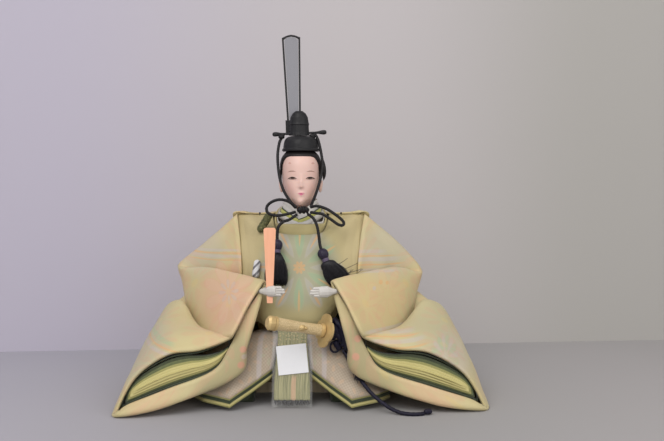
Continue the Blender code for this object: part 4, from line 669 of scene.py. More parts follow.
LOOK = {
    "robe": robe_finish("robe_silk", RIGHT),
    "robe_left": robe_finish("robe_silk_left", LEFT),
    "chest": chest_finish(),
    "collar": woven_finish("collar_silk", (.50, .43, .20), (.42, .35, .16), FINE_THREAD, on_cloth=True),
    "lining": woven_finish("lining_silk", (.055, .075, .035), (.020, .028, .015), PLAIN_THREAD),
    "green": woven_finish("green_silk", (.085, .105, .045), (.025, .035, .016), BROAD_THREAD),
    "lime": woven_finish("lime_silk", (.36, .34, .12), (.24, .23, .08), .0002, depth=0.0),
    "streaked": woven_finish("streaked_green_silk", (.16, .18, .07), (.055, .075, .03), BROAD_THREAD),
    "pale_lime": woven_finish("pale_lime_silk", (.58, .52, .22), (.44, .39, .15), .0002, depth=0.0),
    "lime_edge": woven_finish("lime_edge_silk", (.50, .50, .14), (.40, .40, .10), .0003, depth=0.0),
    "white": woven_finish("white_silk", (.62, .60, .56), (.50, .48, .44), FINE_THREAD),
    "panel": panel_finish(),
    "skin": skin_finish(),
    "ear": thread_finish("ear_shell", (.66, .47, .40), (.70, .51, .44)),
    "hair": hair_finish(),
    "lacquer": lacquer_finish(),
    "gauze": gauze_finish(),
    "cord": thread_finish("black_cord", (.002, .002, .0025), (.012, .011, .012)),
    "tassel": thread_finish("black_thread", (.002, .002, .003), (.016, .014, .019), .45),
    "tassel_head": thread_finish("violet_black_thread", (.008, .006, .014), (.035, .027, .055), .45),
    "binding": thread_finish("lavender_binding", (.09, .07, .12), (.17, .14, .20)),
    "navy": thread_finish("navy_thread", (.002, .002, .006), (.010, .008, .028), .55),
    "braid": thread_finish("olive_braid_thread", (.012, .016, .006), (.17, .17, .065), .6, .0011),
    "baton": wood_finish("baton_wood", (.86, .45, .28), (.78, .38, .22), .003, .45),
    "board": wood_finish("board_wood", (.60, .50, .34), (.46, .37, .22)),
    "stick": wood_finish("stick_wood", (.66, .54, .34), (.52, .40, .22)),
    "gold": gold_finish(),
    "ivory": ivory_finish(),
    "sash": sash_finish(),
    "film": film_finish(),
    "card": card_finish(),
    "straw": straw_finish(),
    "paper": woven_finish("wrapping_paper", (.78, .73, .64),
                         (.66, .60, .50), .0015, roughness=.85, sheen=0.0),
    "tab": striped_tab_finish(),
    "brow": thread_finish("brow_paint", (.30, .17, .13), (.38, .23, .18)),
    "eye_line": thread_finish("eye_paint", (.010, .007, .006), (.03, .02, .018), .35),
    "eye_white": thread_finish("eye_white_paint", (.30, .20, .15), (.40, .28, .22), .3),
    "iris": thread_finish("iris_paint", (.020, .010, .008), (.06, .03, .02), .15),
    "lip": thread_finish("lip_paint", (.62, .085, .22), (.70, .13, .29), .35),
    "smudge": thread_finish("smudge_paint", (.54, .32, .26), (.62, .38, .31)),
}


# Shapes

def smooth_along(points, steps, closed=False):
    """Catmull-Rom curve through the points of the first axis."""
    points = np.asarray(points, dtype=float)
    if closed:
        spans = len(points)
        before, ends, after_next = np.roll(points, 1, 0), np.roll(points, -1, 0), np.roll(points, -2, 0)
    else:
        padded = np.concatenate([2 * points[:1] - points[1:2], points, 2 * points[-1:] - points[-2:-1]])
        spans = len(points) - 1
        before, points = padded[:spans], padded[1:1 + spans]
        ends, after_next = padded[2:2 + spans], padded[3:3 + spans]
    rows = []
    for step in range(steps):
        t = step / steps
        rows.append(0.5 * (2 * points + (ends - before) * t
                           + (2 * before - 5 * points + 4 * ends - after_next) * t ** 2
                           + (3 * points - before - 3 * ends + after_next) * t ** 3))
    curve = np.stack(rows, axis=1).reshape((spans * steps,) + points.shape[1:])
    return curve if closed else np.concatenate([curve, padded[-2:-1]])


def smooth_grid(grid, along, round_steps, closed=False):
    first = smooth_along(grid, along)
    return np.swapaxes(smooth_along(np.swapaxes(first, 0, 1), round_steps, closed), 0, 1)


def grid_normals(grid, closed=False):
    along = np.gradient(grid, axis=0)
    across = (np.roll(grid, -1, 1) - np.roll(grid, 1, 1)) if closed else np.gradient(grid, axis=1)
    normals = np.cross(along, across)
    return normals / np.maximum(np.linalg.norm(normals, axis=-1, keepdims=True), 1e-12)


def waver(points, size, seed):
    """Smooth noise from -1 to 1 at each point."""
    flat = np.asarray(points).reshape(-1, 3)
    values = [noise.noise(Vector((p[0] / size + seed, p[1] / size, p[2] / size - seed))) for p in flat]
    return np.array(values).reshape(np.asarray(points).shape[:-1])


def piece(name, vertices, faces, finish, body, uv=None, crease=None):
    mesh = bpy.data.meshes.new(name)
    mesh.from_pydata([tuple(v) for v in vertices], [], faces)
    mesh.validate()
    mesh.shade_smooth()
    if crease:
        mesh.set_sharp_from_angle(angle=math.radians(crease))
    if uv is not None:
        layer = mesh.uv_layers.new(name="cloth")
        corner = 0
        for polygon in mesh.polygons:
            for index in polygon.loop_indices:
                layer.data[index].uv = uv[corner]
                corner += 1
    mesh.materials.append(finish)
    made = bpy.data.objects.new(name, mesh)
    bpy.context.scene.collection.objects.link(made)
    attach(made, body)
    return made


def cloth_places(grid, closed):
    """Run of the cloth along and across the grid, in metres."""
    along = np.linalg.norm(np.diff(grid, axis=0), axis=-1)
    along = np.concatenate([np.zeros((1, grid.shape[1])), np.cumsum(along, axis=0)])
    wide = np.concatenate([grid, grid[:, :1]], axis=1) if closed else grid
    across = np.linalg.norm(np.diff(wide, axis=1), axis=-1)
    across = np.concatenate([np.zeros((grid.shape[0], 1)), np.cumsum(across, axis=1)], axis=1)
    if closed:
        along = np.concatenate([along, along[:, :1]], axis=1)
    return along, across


def grid_faces(grid, closed, flip=False):
    """Faces of a grid of points, and each corner's place along and across the cloth."""
    rows, columns = grid.shape[:2]
    along, across = cloth_places(grid, closed)
    faces, uv = [], []
    for i in range(rows - 1):
        for j in range(columns if closed else columns - 1):
            k = (j + 1) % columns
            corners = [(i, j, j), (i, k, j + 1), (i + 1, k, j + 1), (i + 1, j, j)]
            if flip:
                corners.reverse()
            faces.append(tuple(a * columns + b for a, b, _ in corners))
            uv += [(along[a, c], across[a, c]) for a, _, c in corners]
    return faces, uv


def sheet_piece(name, grid, finish, body, thickness, closed=False, flip=False):
    """Cloth from a grid of points: its outer face, thickened inward."""
    faces, uv = grid_faces(grid, closed, flip)
    made = piece(name, grid.reshape(-1, 3), faces, finish, body, uv)
    if thickness:
        thick = made.modifiers.new("cloth thickness", "SOLIDIFY")
        thick.thickness = thickness
        thick.offset = -1.0
        thick.use_rim = True
    return made


def loft(name, rings, finish, body, caps=True, crease=None):
    """Skin over closed rings of equal count."""
    rings = np.asarray(rings, dtype=float)
    count, around = rings.shape[:2]
    faces, uv = grid_faces(rings, True)
    uv = [(across, along) for along, across in uv]
    if caps:
        for i, order in ((0, -1), (count - 1, 1)):
            faces.append(tuple([i * around + j for j in range(around)][::order]))
            uv += [(0.0, 0.0)] * around
    made = piece(name, rings.reshape(-1, 3), faces, finish, body, uv, crease=crease)
    tidy = bmesh.new()
    tidy.from_mesh(made.data)
    bmesh.ops.recalc_face_normals(tidy, faces=tidy.faces)
    tidy.to_mesh(made.data)
    tidy.free()
    return made


def angles(count):
    """Equal steps once round."""
    return np.linspace(0, 2 * math.pi, count, endpoint=False)


def hoop(centre, u, v, count):
    """Oval ring with the half axes u and v."""
    return [centre + u * math.cos(a) + v * math.sin(a) for a in angles(count)]


def head_ring(half, front, back, height, sides):
    """Level ring round the head's axis, deeper or flatter in front than behind."""
    ring = []
    for a in angles(sides):
        deep = front if math.sin(a) < 0 else back
        ring.append((half * math.cos(a), deep * math.sin(a), height))
    return ring


def axes_of(direction, up=(0.0, 0.0, 1.0)):
    first = np.array(direction, dtype=float)
    first /= np.linalg.norm(first)
    second = np.cross(np.array(up), first)
    second /= np.linalg.norm(second)
    return first, second, np.cross(first, second)


def turned(name, profile, finish, body, place, axis, sides, slot, crease=35):
    """Turned piece: the profile's points are (run along the axis, radius)."""
    level = abs(axis[1]) < .9 * np.linalg.norm(axis)
    first, u, v = axes_of(axis, (0.0, 1.0, 0.0) if level else (0.0, 0.0, 1.0))
    rings = [hoop(np.array(place) + first * run, u * radius, v * radius, sides) for run, radius in profile]
    return loft(name, rings, finish, body, crease=crease)


def carried_axes(route):
    """Directions across a route that turn with it as little as they can."""
    tangents = np.gradient(route, axis=0)
    tangents /= np.linalg.norm(tangents, axis=1, keepdims=True)
    helper = np.array((0.0, 0.0, 1.0)) if abs(tangents[0][2]) < .9 else np.array((0.0, 1.0, 0.0))
    u = np.cross(tangents[0], helper)
    frames = []
    for tangent in tangents:
        u = u - tangent * np.dot(u, tangent)
        u /= np.linalg.norm(u)
        frames.append((u, np.cross(tangent, u)))
    return frames


def run_along(path):
    """Length of the path up to each of its points."""
    return np.concatenate([[0], np.cumsum(np.linalg.norm(np.diff(path, axis=0), axis=1))])


def cord_piece(name, route, radius, finish, body, plies=3, pitch=6.0, steps=8, sides=18):
    """Laid cord: a lobed section that turns along its route, and rounded ends."""
    path = smooth_along(route, steps)
    rings = []
    for (u, v), point, along in zip(carried_axes(path), path, run_along(path)):
        twist = 2 * math.pi * along / (pitch * radius * 2)
        ring = []
        for a in angles(sides):
            lobed = radius * (.86 + .14 * abs(math.cos((a - twist) * plies / 2)))
            ring.append(point + lobed * (u * math.cos(a) + v * math.sin(a)))
        rings.append(ring)
    ends = []
    for at, following in ((0, 1), (-1, -2)):
        outward = (path[at] - path[following]) / np.linalg.norm(path[at] - path[following])
        ends.append(path[at] + outward * radius * .35 + (np.array(rings[at]) - path[at]) * .5)
    return loft(name, [ends[0]] + rings + [ends[1]], finish, body), path


def braid_piece(name, route, radius, finish, body, bead=.55):
    """Fat braided cord: two sets of ridges that cross."""
    path = smooth_along(route, 14)
    run = run_along(path)
    rings = []
    for (u, v), point, along in zip(carried_axes(path), path, run):
        ring = []
        end = min(along, run[-1] - along) / radius
        shrink = math.sqrt(max(1 - max(1 - end, 0.0) ** 2, .05))
        phase = along / (radius * bead)
        for a in angles(24):
            ridge = abs(math.sin(a * 3 + phase)) * abs(math.sin(a * 3 - phase))
            ring.append(point + radius * shrink * (.84 + .16 * ridge) * (u * math.cos(a) + v * math.sin(a)))
        rings.append(ring)
    return loft(name, rings, finish, body)


def strands_piece(name, threads, radius, finish, body, seed, points, curl):
    """Many fine threads as one mesh, each from its start to its end with a sideways swell."""
    picks = np.random.default_rng(seed)
    shares = np.linspace(0, 1, points)
    vertices, faces = [], []
    for start, end, swell in threads:
        wander = picks.normal(0, curl, (points, 3))
        wander[0] = 0
        wander = np.cumsum(wander, axis=0) * np.linspace(0, .6, points)[:, None]
        start, end, swell = np.array(start), np.array(end), np.array(swell)
        line = [start * (1 - t) + end * t + swell * 4 * t * (1 - t) for t in shares]
        line = np.array(line) + wander
        base = len(vertices)
        for index, ((u, v), point) in enumerate(zip(carried_axes(line), line)):
            thin = radius * (1.0 - .35 * index / (points - 1))
            vertices += hoop(point, thin * u, thin * v, 3)
        for i in range(points - 1):
            for j in range(3):
                k = (j + 1) % 3
                faces.append((base + i * 3 + j, base + i * 3 + k, base + i * 3 + 3 + k, base + i * 3 + 3 + j))
        last = base + (points - 1) * 3
        faces += [(base + 2, base + 1, base), (last, last + 1, last + 2)]
    return piece(name, vertices, faces, finish, body)


def paint(node, finish):
    """Finish of a solid that stays as it is."""
    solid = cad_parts[node]
    if not solid.data.materials:
        solid.data.materials.append(finish)
    for slot in solid.material_slots:
        slot.material = finish


# Robe

SLEEVE_SHARES = [
    [(.379, .00, .98), (.365, .22, .94), (.347, .38, .81), (.347, .44, .67), (.350, .49, .52),
     (.360, .54, .36), (.368, .60, .20), (.380, .66, .01), (.373, .54, .01), (.360, .34, .17),
     (.342, .00, .33), (.334, -.30, .64), (.346, -.23, .81), (.371, -.08, .945)],
    [(.560, .04, .83), (.560, .20, .78), (.560, .34, .67), (.563, .38, .57), (.586, .42, .51),
     (.653, .48, .39), (.690, .54, .21), (.650, .58, .01), (.533, .48, .01), (.480, .34, .19),
     (.413, .16, .36), (.400, -.14, .53), (.480, -.14, .67), (.512, -.04, .775)],
    [(.740, .08, .688), (.728, .14, .63), (.696, .09, .56), (.708, .09, .51), (.758, .11, .475),
     (.813, .22, .43), (.880, .30, .22), (.853, .36, .01), (.706, .30, .01), (.600, .26, .20),
     (.460, .08, .38), (.480, .00, .47), (.547, -.02, .59), (.627, .02, .64)],
    [(.573, -.12, .681), (.607, -.20, .53), (.620, -.27, .355), (.658, -.22, .41), (.706, -.14, .50),
     (.827, -.11, .42), (.920, -.14, .23), (.933, -.12, .01), (.760, -.12, .01), (.613, -.18, .20),
     (.400, -.28, .40), (.413, -.28, .46), (.453, -.24, .58), (.513, -.12, .65)],
    [(.387, -.40, .669), (.447, -.54, .53), (.527, -.54, .35), (.572, -.475, .385), (.627, -.49, .43),
     (.787, -.50, .38), (.913, -.50, .23), (.967, -.50, .01), (.780, -.60, .01), (.613, -.62, .17),
     (.347, -.62, .34), (.320, -.58, .43), (.333, -.52, .56), (.333, -.40, .63)],
    [(.250, -.60, .656), (.323, -.71, .55), (.425, -.79, .38), (.467, -.755, .39), (.580, -.79, .39),
     (.733, -.79, .35), (.887, -.80, .22), (.985, -.88, .01), (.925, -1.06, .01), (.680, -1.0, .055),
     (.322, -.86, .185), (.282, -.845, .31), (.232, -.745, .48), (.206, -.62, .615)],
    [(.200, -.68, .644), (.273, -.82, .54), (.340, -.91, .415), (.377, -.895, .375), (.527, -.94, .328),
     (.693, -.97, .308), (.867, -.99, .193), (.960, -1.03, .018), (.888, -1.04, .060), (.687, -1.0, .13),
     (.453, -.93, .21), (.366, -.86, .322), (.285, -.785, .485), (.192, -.655, .622)],
]
ELBOW_RING, ELBOW_COLUMNS = 2, (0, 1, 2, 12, 13)
ELBOW_SHIFT = {RIGHT: (0.0, 0.0, 0.0), LEFT: (-0.040, 0.0, -0.032)}
TIP_SPREAD = {RIGHT: 0.0, LEFT: 0.105}
TIP_DRAW_BACK = {RIGHT: 0.0, LEFT: 0.22}
SHOULDER_SPAN = 0.38
CLOTH_STEPS = 6


def robe_points(shares, side=LEFT, spread=0.0, back=0.0):
    places = np.array(shares, dtype=float)
    outward = places[..., 0:1]
    grown = outward * (1.0 + spread * np.maximum(abs(outward) - SHOULDER_SPAN, 0.0))
    drawn = places[..., 1:2] * (1.0 - back * outward * outward)
    return np.concatenate([grown * side * HALF_SPAN, drawn * REACH, places[..., 2:3] * SHOULDER], axis=-1)


def sleeve_grid(side):
    shares = np.array(SLEEVE_SHARES)
    shares[ELBOW_RING, list(ELBOW_COLUMNS)] += ELBOW_SHIFT[side]
    places = robe_points(shares, side, TIP_SPREAD[side], TIP_DRAW_BACK[side])
    grid = smooth_grid(places, CLOTH_STEPS, CLOTH_STEPS, closed=True)
    grid[..., 2] = np.maximum(grid[..., 2], FLOOR_LIFT)
    return grid


ROBE_THICK = .0010
CREASE_HEIGHT = .0011
HEM_INWARD, HEM_BACK = .00108, .00086


def make_sleeve(side):
    """Wide sleeve of the outer robe, with soft creases and a rolled cuff edge."""
    grid = sleeve_grid(side)
    normals = grid_normals(grid, True)
    if ((grid - grid.mean(axis=(0, 1))) * normals).sum() < 0:
        normals = -normals
    rows = np.linspace(0, 1, grid.shape[0])[:, None]
    calm = np.minimum(rows / .12, 1.0) * np.minimum((1.0 - rows) / .10, 1.0)
    low = np.clip((grid[..., 2] - FLOOR_LIFT * 2) / .008, 0, 1)
    crease = .55 * waver(grid, .030, 3.0 + side) + .30 * waver(grid, .011, 8.0 + side)
    grid = grid + normals * (crease * calm * low * CREASE_HEIGHT)[..., None]
    hem = grid[-1] - normals[-1] * HEM_INWARD
    hem[:, 1] += HEM_BACK
    grid = np.concatenate([grid, hem[None]])
    grid[..., 2] = np.maximum(grid[..., 2], FLOOR_LIFT)
    finish = LOOK["robe"] if side == RIGHT else LOOK["robe_left"]
    made = sheet_piece("robe_sleeve_" + SIDE[side], grid, finish, "seated_body", ROBE_THICK,
                       closed=True, flip=side == RIGHT)
    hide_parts("sleeve_" + SIDE[side])


# Columns of the sleeve's last row that form the two lips of its mouth
MOUTH_UPPER = slice(6 * 3, 13 * 3 + 1)
MOUTH_LOWER = slice(22 * 3, 15 * 3 - 1, -1)


FOLD_STEPS = 54
CUFF_SINK, SINK_REACH = .66, .40
NOSE_LENGTH, ROOT_LENGTH = .26, .05


def fold_loop(upper, lower, shares, inset, back):
    """Flat closed loop between the lips of the cuff, with a round nose."""
    top_share, low_share, start, end = shares
    known = np.linspace(0, 1, len(upper))
    picks = start + (end - start) * (1 - np.cos(np.linspace(0, math.pi, FOLD_STEPS))) / 2
    top, low = (np.stack([np.interp(picks, known, lip[:, k]) for k in range(3)], axis=1)
                for lip in (upper, lower))
    gap = low - top
    size = np.linalg.norm(gap, axis=1, keepdims=True)
    inner = top_share > .05
    sunk = CUFF_SINK * np.clip(1 - picks / SINK_REACH, 0, 1) ** 1.1 if inner else np.zeros(FOLD_STEPS)
    sunk = sunk[:, None]
    first = top + gap * (top_share + (1 - low_share - top_share) * .10 + (1 - top_share) * sunk * .90)
    second = top + gap * (1 - low_share + low_share * sunk)
    half = np.maximum(np.linalg.norm(second - first, axis=1, keepdims=True) / 2 - inset, .0001)
    share = np.linspace(0, 1, FOLD_STEPS)[:, None]
    nose = np.sqrt(np.clip(1 - ((share - 1 + NOSE_LENGTH) / NOSE_LENGTH).clip(0, 1) ** 2, 0, 1))
    root = np.sqrt(np.clip(1 - ((ROOT_LENGTH - share) / ROOT_LENGTH).clip(0, 1) ** 2, 0, 1))
    lift = gap / size * half * nose * root
    middle = (first + second) / 2 + np.array((0.0, back, 0.0))
    loop = np.concatenate([middle - lift, (middle + lift)[-2:0:-1]])
    loop[:, 2] = np.maximum(loop[:, 2], FLOOR_LIFT + .0004)
    return loop


FOLD_DEEP = .0105


def fold_layer(name, side, mouth, shares, front, thick, finish, node, solid):
    """One folded cloth of the nested cuffs: a flat tube with a rounded front fold."""
    stations = [(0.0, FOLD_DEEP), (0.0, front + thick * .7), (thick * .16, front + thick * .18),
                (thick * .5, front)]
    if solid:
        stations.append((thick * 1.1, front + thick * .1))
    else:
        stations += [(thick * .84, front + thick * .18), (thick, front + thick * .7), (thick, FOLD_DEEP)]
    rings = [fold_loop(*mouth, shares, inset, back) for inset, back in stations]
    made = loft(name + "_" + SIDE[side], rings, finish, "seated_body", caps=solid)
    if node:
        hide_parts(node + "_" + SIDE[side])


# Each layer: its shares of the mouth's gap above and below, its start and end along the lips,
# how far behind the sleeve's edge its fold lies, its thickness, finish, slot, solid and fill
CUFF_FOLDS = [
    ("cuff_lining", (.030, .030, .00, .975), .0024, .0009, "lining", "dark_green_silk", "sleeve_lining", False),
    ("cuff_green_outer", (.120, .050, .02, .935), .0052, .0010, "green", "green_silk", "cuff_green", True),
    ("cuff_green_middle", (.225, .110, .03, .915), .0042, .0010, "streaked", "green_silk", None, True),
    ("cuff_olive_edge", (.330, .150, .03, .895), .0034, .0010, "lime", "lime_silk", None, True),
    ("cuff_lime_outer", (.410, .210, .04, .870), .0026, .0012, "pale_lime", "lime_silk", "cuff_lime", True),
    ("cuff_lime_second", (.500, .290, .05, .840), .0018, .0012, "pale_lime", "lime_silk", None, True),
    ("cuff_lime_heart", (.590, .375, .07, .800), .0009, .0014, "pale_lime", "lime_silk", None, True),
]


def make_cuffs(side):
    edge = sleeve_grid(side)[-1]
    mouth = (edge[MOUTH_UPPER], edge[MOUTH_LOWER])
    for name, shares, front, thick, finish, slot, node, solid in CUFF_FOLDS:
        fold_layer(name, side, mouth, shares, front, thick, LOOK[finish], node, solid)


FRONT_SHARES = [
    [(.000, -.280, .874), (.071, -.262, .876), (.140, -.205, .890), (.170, .004, .980)],
    [(.000, -.312, .848), (.090, -.297, .852), (.188, -.215, .912), (.268, .040, .981)],
    [(.000, -.342, .806), (.115, -.328, .825), (.245, -.225, .900), (.367, .028, .979)],
    [(.000, -.380, .750), (.120, -.365, .756), (.233, -.300, .775), (.330, -.225, .813)],
    [(.000, -.440, .650), (.120, -.425, .650), (.240, -.365, .656), (.320, -.295, .663)],
    [(.000, -.510, .550), (.120, -.495, .550), (.227, -.430, .550), (.280, -.340, .550)],
    [(.000, -.550, .450), (.107, -.540, .444), (.173, -.500, .444), (.213, -.410, .450)],
    [(.000, -.520, .394), (.093, -.510, .394), (.160, -.470, .400), (.200, -.390, .413)],
]
BACK_SHARES = [
    [(.000, .205, .994), (.064, .185, .994), (.129, .118, .991), (.166, .005, .984)],
    [(.000, .270, .981), (.107, .260, .981), (.200, .190, .981), (.267, .040, .984)],
    [(.000, .340, .938), (.133, .340, .938), (.267, .270, .944), (.367, .030, .981)],
    [(.000, .420, .813), (.133, .420, .813), (.253, .400, .813), (.327, .350, .813)],
    [(.000, .470, .625), (.133, .470, .625), (.253, .460, .625), (.330, .430, .625)],
    [(.000, .540, .375), (.147, .540, .375), (.267, .530, .375), (.337, .510, .375)],
    [(.000, .660, .150), (.160, .660, .150), (.273, .640, .150), (.340, .600, .150)],
    [(.000, .800, .008), (.173, .790, .008), (.287, .750, .008), (.345, .680, .008)],
]
FRONT_LEAN = [.0, .0, .0, .0, .0, -.013, -.027, -.027]


TUCK_OUT, TUCK_IN, TUCK_ROWS = .0008, .0012, 8.0
TUCK_SPREAD = {-1: .0030, 1: .0055}
PLEAT_HEIGHT, BODY_WAVE = .0005, .0009


def make_robe_body():
    """Chest and back of the outer robe, each tucked a little way into the armholes."""
    mirror = np.array((-1.0, 1.0, 1.0))
    lean = np.array(FRONT_LEAN)[:, None] * HALF_SPAN
    for name, shares, finish, outward in (("robe_chest", FRONT_SHARES, "chest", -1),
                                          ("robe_back", BACK_SHARES, "robe", 1)):
        half = robe_points(shares)
        grid = np.concatenate([(half * mirror)[:, :0:-1], half], axis=1)
        if outward < 0:
            grid[..., 0] += lean
        grid = smooth_grid(grid, CLOTH_STEPS, CLOTH_STEPS)
        spread = np.clip(np.arange(len(grid)) / TUCK_ROWS, 0, 1)[:, None] * TUCK_SPREAD[outward]
        tucks = []
        for column, side in ((0, RIGHT), (-1, LEFT)):
            tuck = grid[:, column] + np.array((side * TUCK_OUT, -outward * TUCK_IN, 0.0))
            tucks.append([tuck, tuck + spread * (side, -outward * .3, 0.0)])
        grid = np.concatenate([tucks[0][1][:, None], tucks[0][0][:, None], grid,
                               tucks[1][0][:, None], tucks[1][1][:, None]], axis=1)
        normals = grid_normals(grid)
        if normals[grid.shape[0] // 2, grid.shape[1] // 2][1] * outward < 0:
            normals = -normals
        rows = np.linspace(0, 1, grid.shape[0])[:, None]
        columns = abs(np.linspace(-1, 1, grid.shape[1]))[None, :]
        calm = np.minimum(rows / .15, 1.0) * np.minimum((1 - columns) / .05, 1.0)
        pleat = np.sin(columns * 34.0 + rows * 3.0) * np.clip((columns - .55) / .3, 0, 1) * PLEAT_HEIGHT
        soft = waver(grid, .030, 4.0 * outward) * BODY_WAVE
        grid = grid + normals * ((pleat + soft) * calm)[..., None]
        made = sheet_piece(name, grid, LOOK[finish], "seated_body", ROBE_THICK, flip=outward > 0)
        if outward < 0:
            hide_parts("robe_body")


def ring_band(inset):
    """Rounded square ring of the collar, drawn in by an inset, at the collar's foot."""
    half, deep = COLLAR_HALF - inset, COLLAR_DEEP - inset
    ring = []
    for a in angles(96):
        across = math.copysign(abs(math.cos(a)) ** .82, math.cos(a))
        along = math.copysign(abs(math.sin(a)) ** .88, math.sin(a))
        y = COLLAR_Y + deep * along
        ring.append((half * across, y, collar_foot(y)))
    return np.array(ring)


def collar_foot(y):
    share = (y - (COLLAR_Y - COLLAR_DEEP)) / (2 * COLLAR_DEEP)
    return SHOULDER * (.876 + .118 * max((share - .30) / .70, 0.0) ** .9) - .0004


# Sections of the standing collar and of the white band inside it: inset and rise
COLLAR_SECTION = [(0.0, .0002), (-.0001, .0030), (.0000, .0066), (.0003, .0090), (.0010, .0099),
                  (.0018, .0090),
                  (.0021, .0060), (.0022, .0004)]
BAND_SECTION = [(.0025, None), (.0025, .0104), (.0028, .0113), (.0031, .0104), (.0031, None)]


def make_collar():
    """Standing round collar, softly folded over at the top, and the white band in it."""
    rings = np.array([ring_band(inset) + np.array((0, 0, rise)) for inset, rise in COLLAR_SECTION])
    rings[2:6, :, 2] += waver(rings[2:6], .012, 2.0) * .0004
    made = loft("neck_collar", rings, LOOK["collar"], "seated_body", caps=False)
    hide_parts("round_collar")
    rings = []
    for inset, rise in BAND_SECTION:
        ring = ring_band(inset)
        ring[:, 2] = ring[:, 2] + rise if rise else CORE_TOP + .0003
        rings.append(ring)
    loft("neck_cloth_outer", rings, LOOK["white"], "seated_body", caps=False)


INNER_COLLAR = [(.10, -1.0, 0.0), (-.28, -.94, .26), (-.60, -.74, .60), (-.86, -.30, .90), (-.92, .20, 1.0),
                (-.70, .66, 1.05), (.0, .92, 1.08), (.70, .66, 1.05), (.92, .20, 1.0), (.86, -.30, .90),
                (.60, -.80, .60), (.28, -1.0, .26), (-.10, -1.075, 0.0)]
COLLAR_CLIMB = .0105


def make_inner_collar(name, node, inset, rise, tall, finish):
    """Collar band of an under robe: a V in front, left over right."""
    half, deep = COLLAR_HALF - inset, COLLAR_DEEP - inset
    route = smooth_along([(x * half, COLLAR_Y + y * deep, CORE_TOP + lift * COLLAR_CLIMB + rise)
                          for x, y, lift in INNER_COLLAR], 8)
    tangents = np.gradient(route, axis=0)
    tangents[:, 2] = 0
    across = np.stack([-tangents[:, 1], tangents[:, 0], np.zeros(len(tangents))], axis=1)
    across /= np.linalg.norm(across, axis=1, keepdims=True)
    section = ((-.00035, 0.0), (.00035, 0.0), (.00038, .5), (.00030, .94), (0.0, 1.0), (-.00030, .94),
               (-.00038, .5))
    rings = np.array([route + across * off + np.array((0, 0, tall * share)) for off, share in section])
    made = loft(name, np.swapaxes(rings, 0, 1), finish, "seated_body")
    if node:
        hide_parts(node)


BELT_HALF, BELT_DEEP, BELT_TALL, BELT_THICK = .0420, .0346, .0096, .0016
BELT_PLACE = (0.0, .008, .064)


def make_belt():
    """Flat band round the waist, a little rounded outside and inside."""
    rings = []
    for inset, rise in ((0.0, 0.0), (-.0003, BELT_TALL / 2), (0.0, BELT_TALL), (BELT_THICK, BELT_TALL),
                        (BELT_THICK + .0002, BELT_TALL / 2), (BELT_THICK, 0.0), (0.0, 0.0)):
        rings.append(hoop(np.array(BELT_PLACE) + np.array((0, 0, rise)), np.array((BELT_HALF - inset, 0, 0)),
                          np.array((0, BELT_DEEP - inset, 0)), 64))
    made = loft("waist_band", rings, LOOK["lining"], "seated_body", caps=False)
    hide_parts("waist_belt")


# Trousers

PANEL_SHARES = [
    [(.041, -.242, .360), (.200, -.26, .370), (.333, -.26, .320), (.440, -.22, .235), (.520, -.16, .150)],
    [(.107, -.52, .335), (.213, -.54, .350), (.333, -.54, .305), (.453, -.48, .220), (.547, -.36, .135)],
    [(.127, -.62, .260), (.233, -.68, .240), (.353, -.72, .200), (.480, -.64, .150), (.573, -.50, .105)],
    [(.140, -.66, .195), (.253, -.78, .130), (.367, -.89, .070), (.520, -.78, .085), (.587, -.58, .075)],
]
PANEL_INWARD = {RIGHT: 0.0, LEFT: -0.073}
PANEL_DROP, PANEL_THICK = 0.0032, 0.0018


def panel_grid(side, drop):
    shares = np.array(PANEL_SHARES)
    shares[..., 0] += PANEL_INWARD[side]
    places = robe_points(shares, side)
    grid = smooth_grid(places, CLOTH_STEPS, CLOTH_STEPS)
    rows = smooth_along(places, CLOTH_STEPS)
    known = np.arange(rows.shape[1])
    picks = np.linspace(0, rows.shape[1] - 1, grid.shape[1])
    crisp = [[np.interp(picks, known, row[:, k]) for k in range(3)] for row in rows]
    crisp = np.stack(crisp).transpose(0, 2, 1)
    share = (np.linspace(0, 1, grid.shape[0]) ** 3)[:, None, None]
    grid = grid * (1 - share) + crisp * share
    grid[..., 2] -= drop
    grid[..., 2] = np.maximum(grid[..., 2], FLOOR_LIFT / 2 + .0006)
    return grid


# Each cloth: its name, solid, drop, thickness, finish and slot
KNEE_LAYERS = [
    ("knee_cloth", "trouser_panel", 0.0, .0013, "panel", "grey_beige_weave"),
    ("knee_piping", None, .00135, .0005, "lime", "grey_beige_weave"),
    ("knee_lining", "trouser_lining", PANEL_DROP, .0008, "lining", "dark_green_silk"),
    ("knee_green", None, PANEL_DROP + .0009, .0008, "green", "dark_green_silk"),
    ("knee_lime", "trouser_underlayer", 2 * PANEL_DROP, .0007, "pale_lime", "lime_silk"),
    ("knee_lime_under", None, 2 * PANEL_DROP + .0010, .0007, "lime", "lime_silk"),
]


KNEE_WAVE = .0003


def make_knee(side):
    """Cloths over one knee, each a little lower than the one above."""
    for name, node, drop, thick, finish, slot in KNEE_LAYERS:
        grid = panel_grid(side, drop)
        normals = grid_normals(grid)
        if normals.mean(axis=(0, 1))[2] < 0:
            normals = -normals
        rows = np.linspace(0, 1, grid.shape[0])[:, None]
        swell = waver(grid, .025, 6.0 + side) * np.minimum(rows / .2, 1.0) * KNEE_WAVE
        grid = grid + normals * swell[..., None]
        made = sheet_piece(name + "_" + SIDE[side], grid, LOOK[finish], "seated_body", thick,
                           flip=side == LEFT)
        if node:
            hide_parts(node + "_" + SIDE[side])


PADDING_PUSH, PADDING_SPREAD = .016, .006


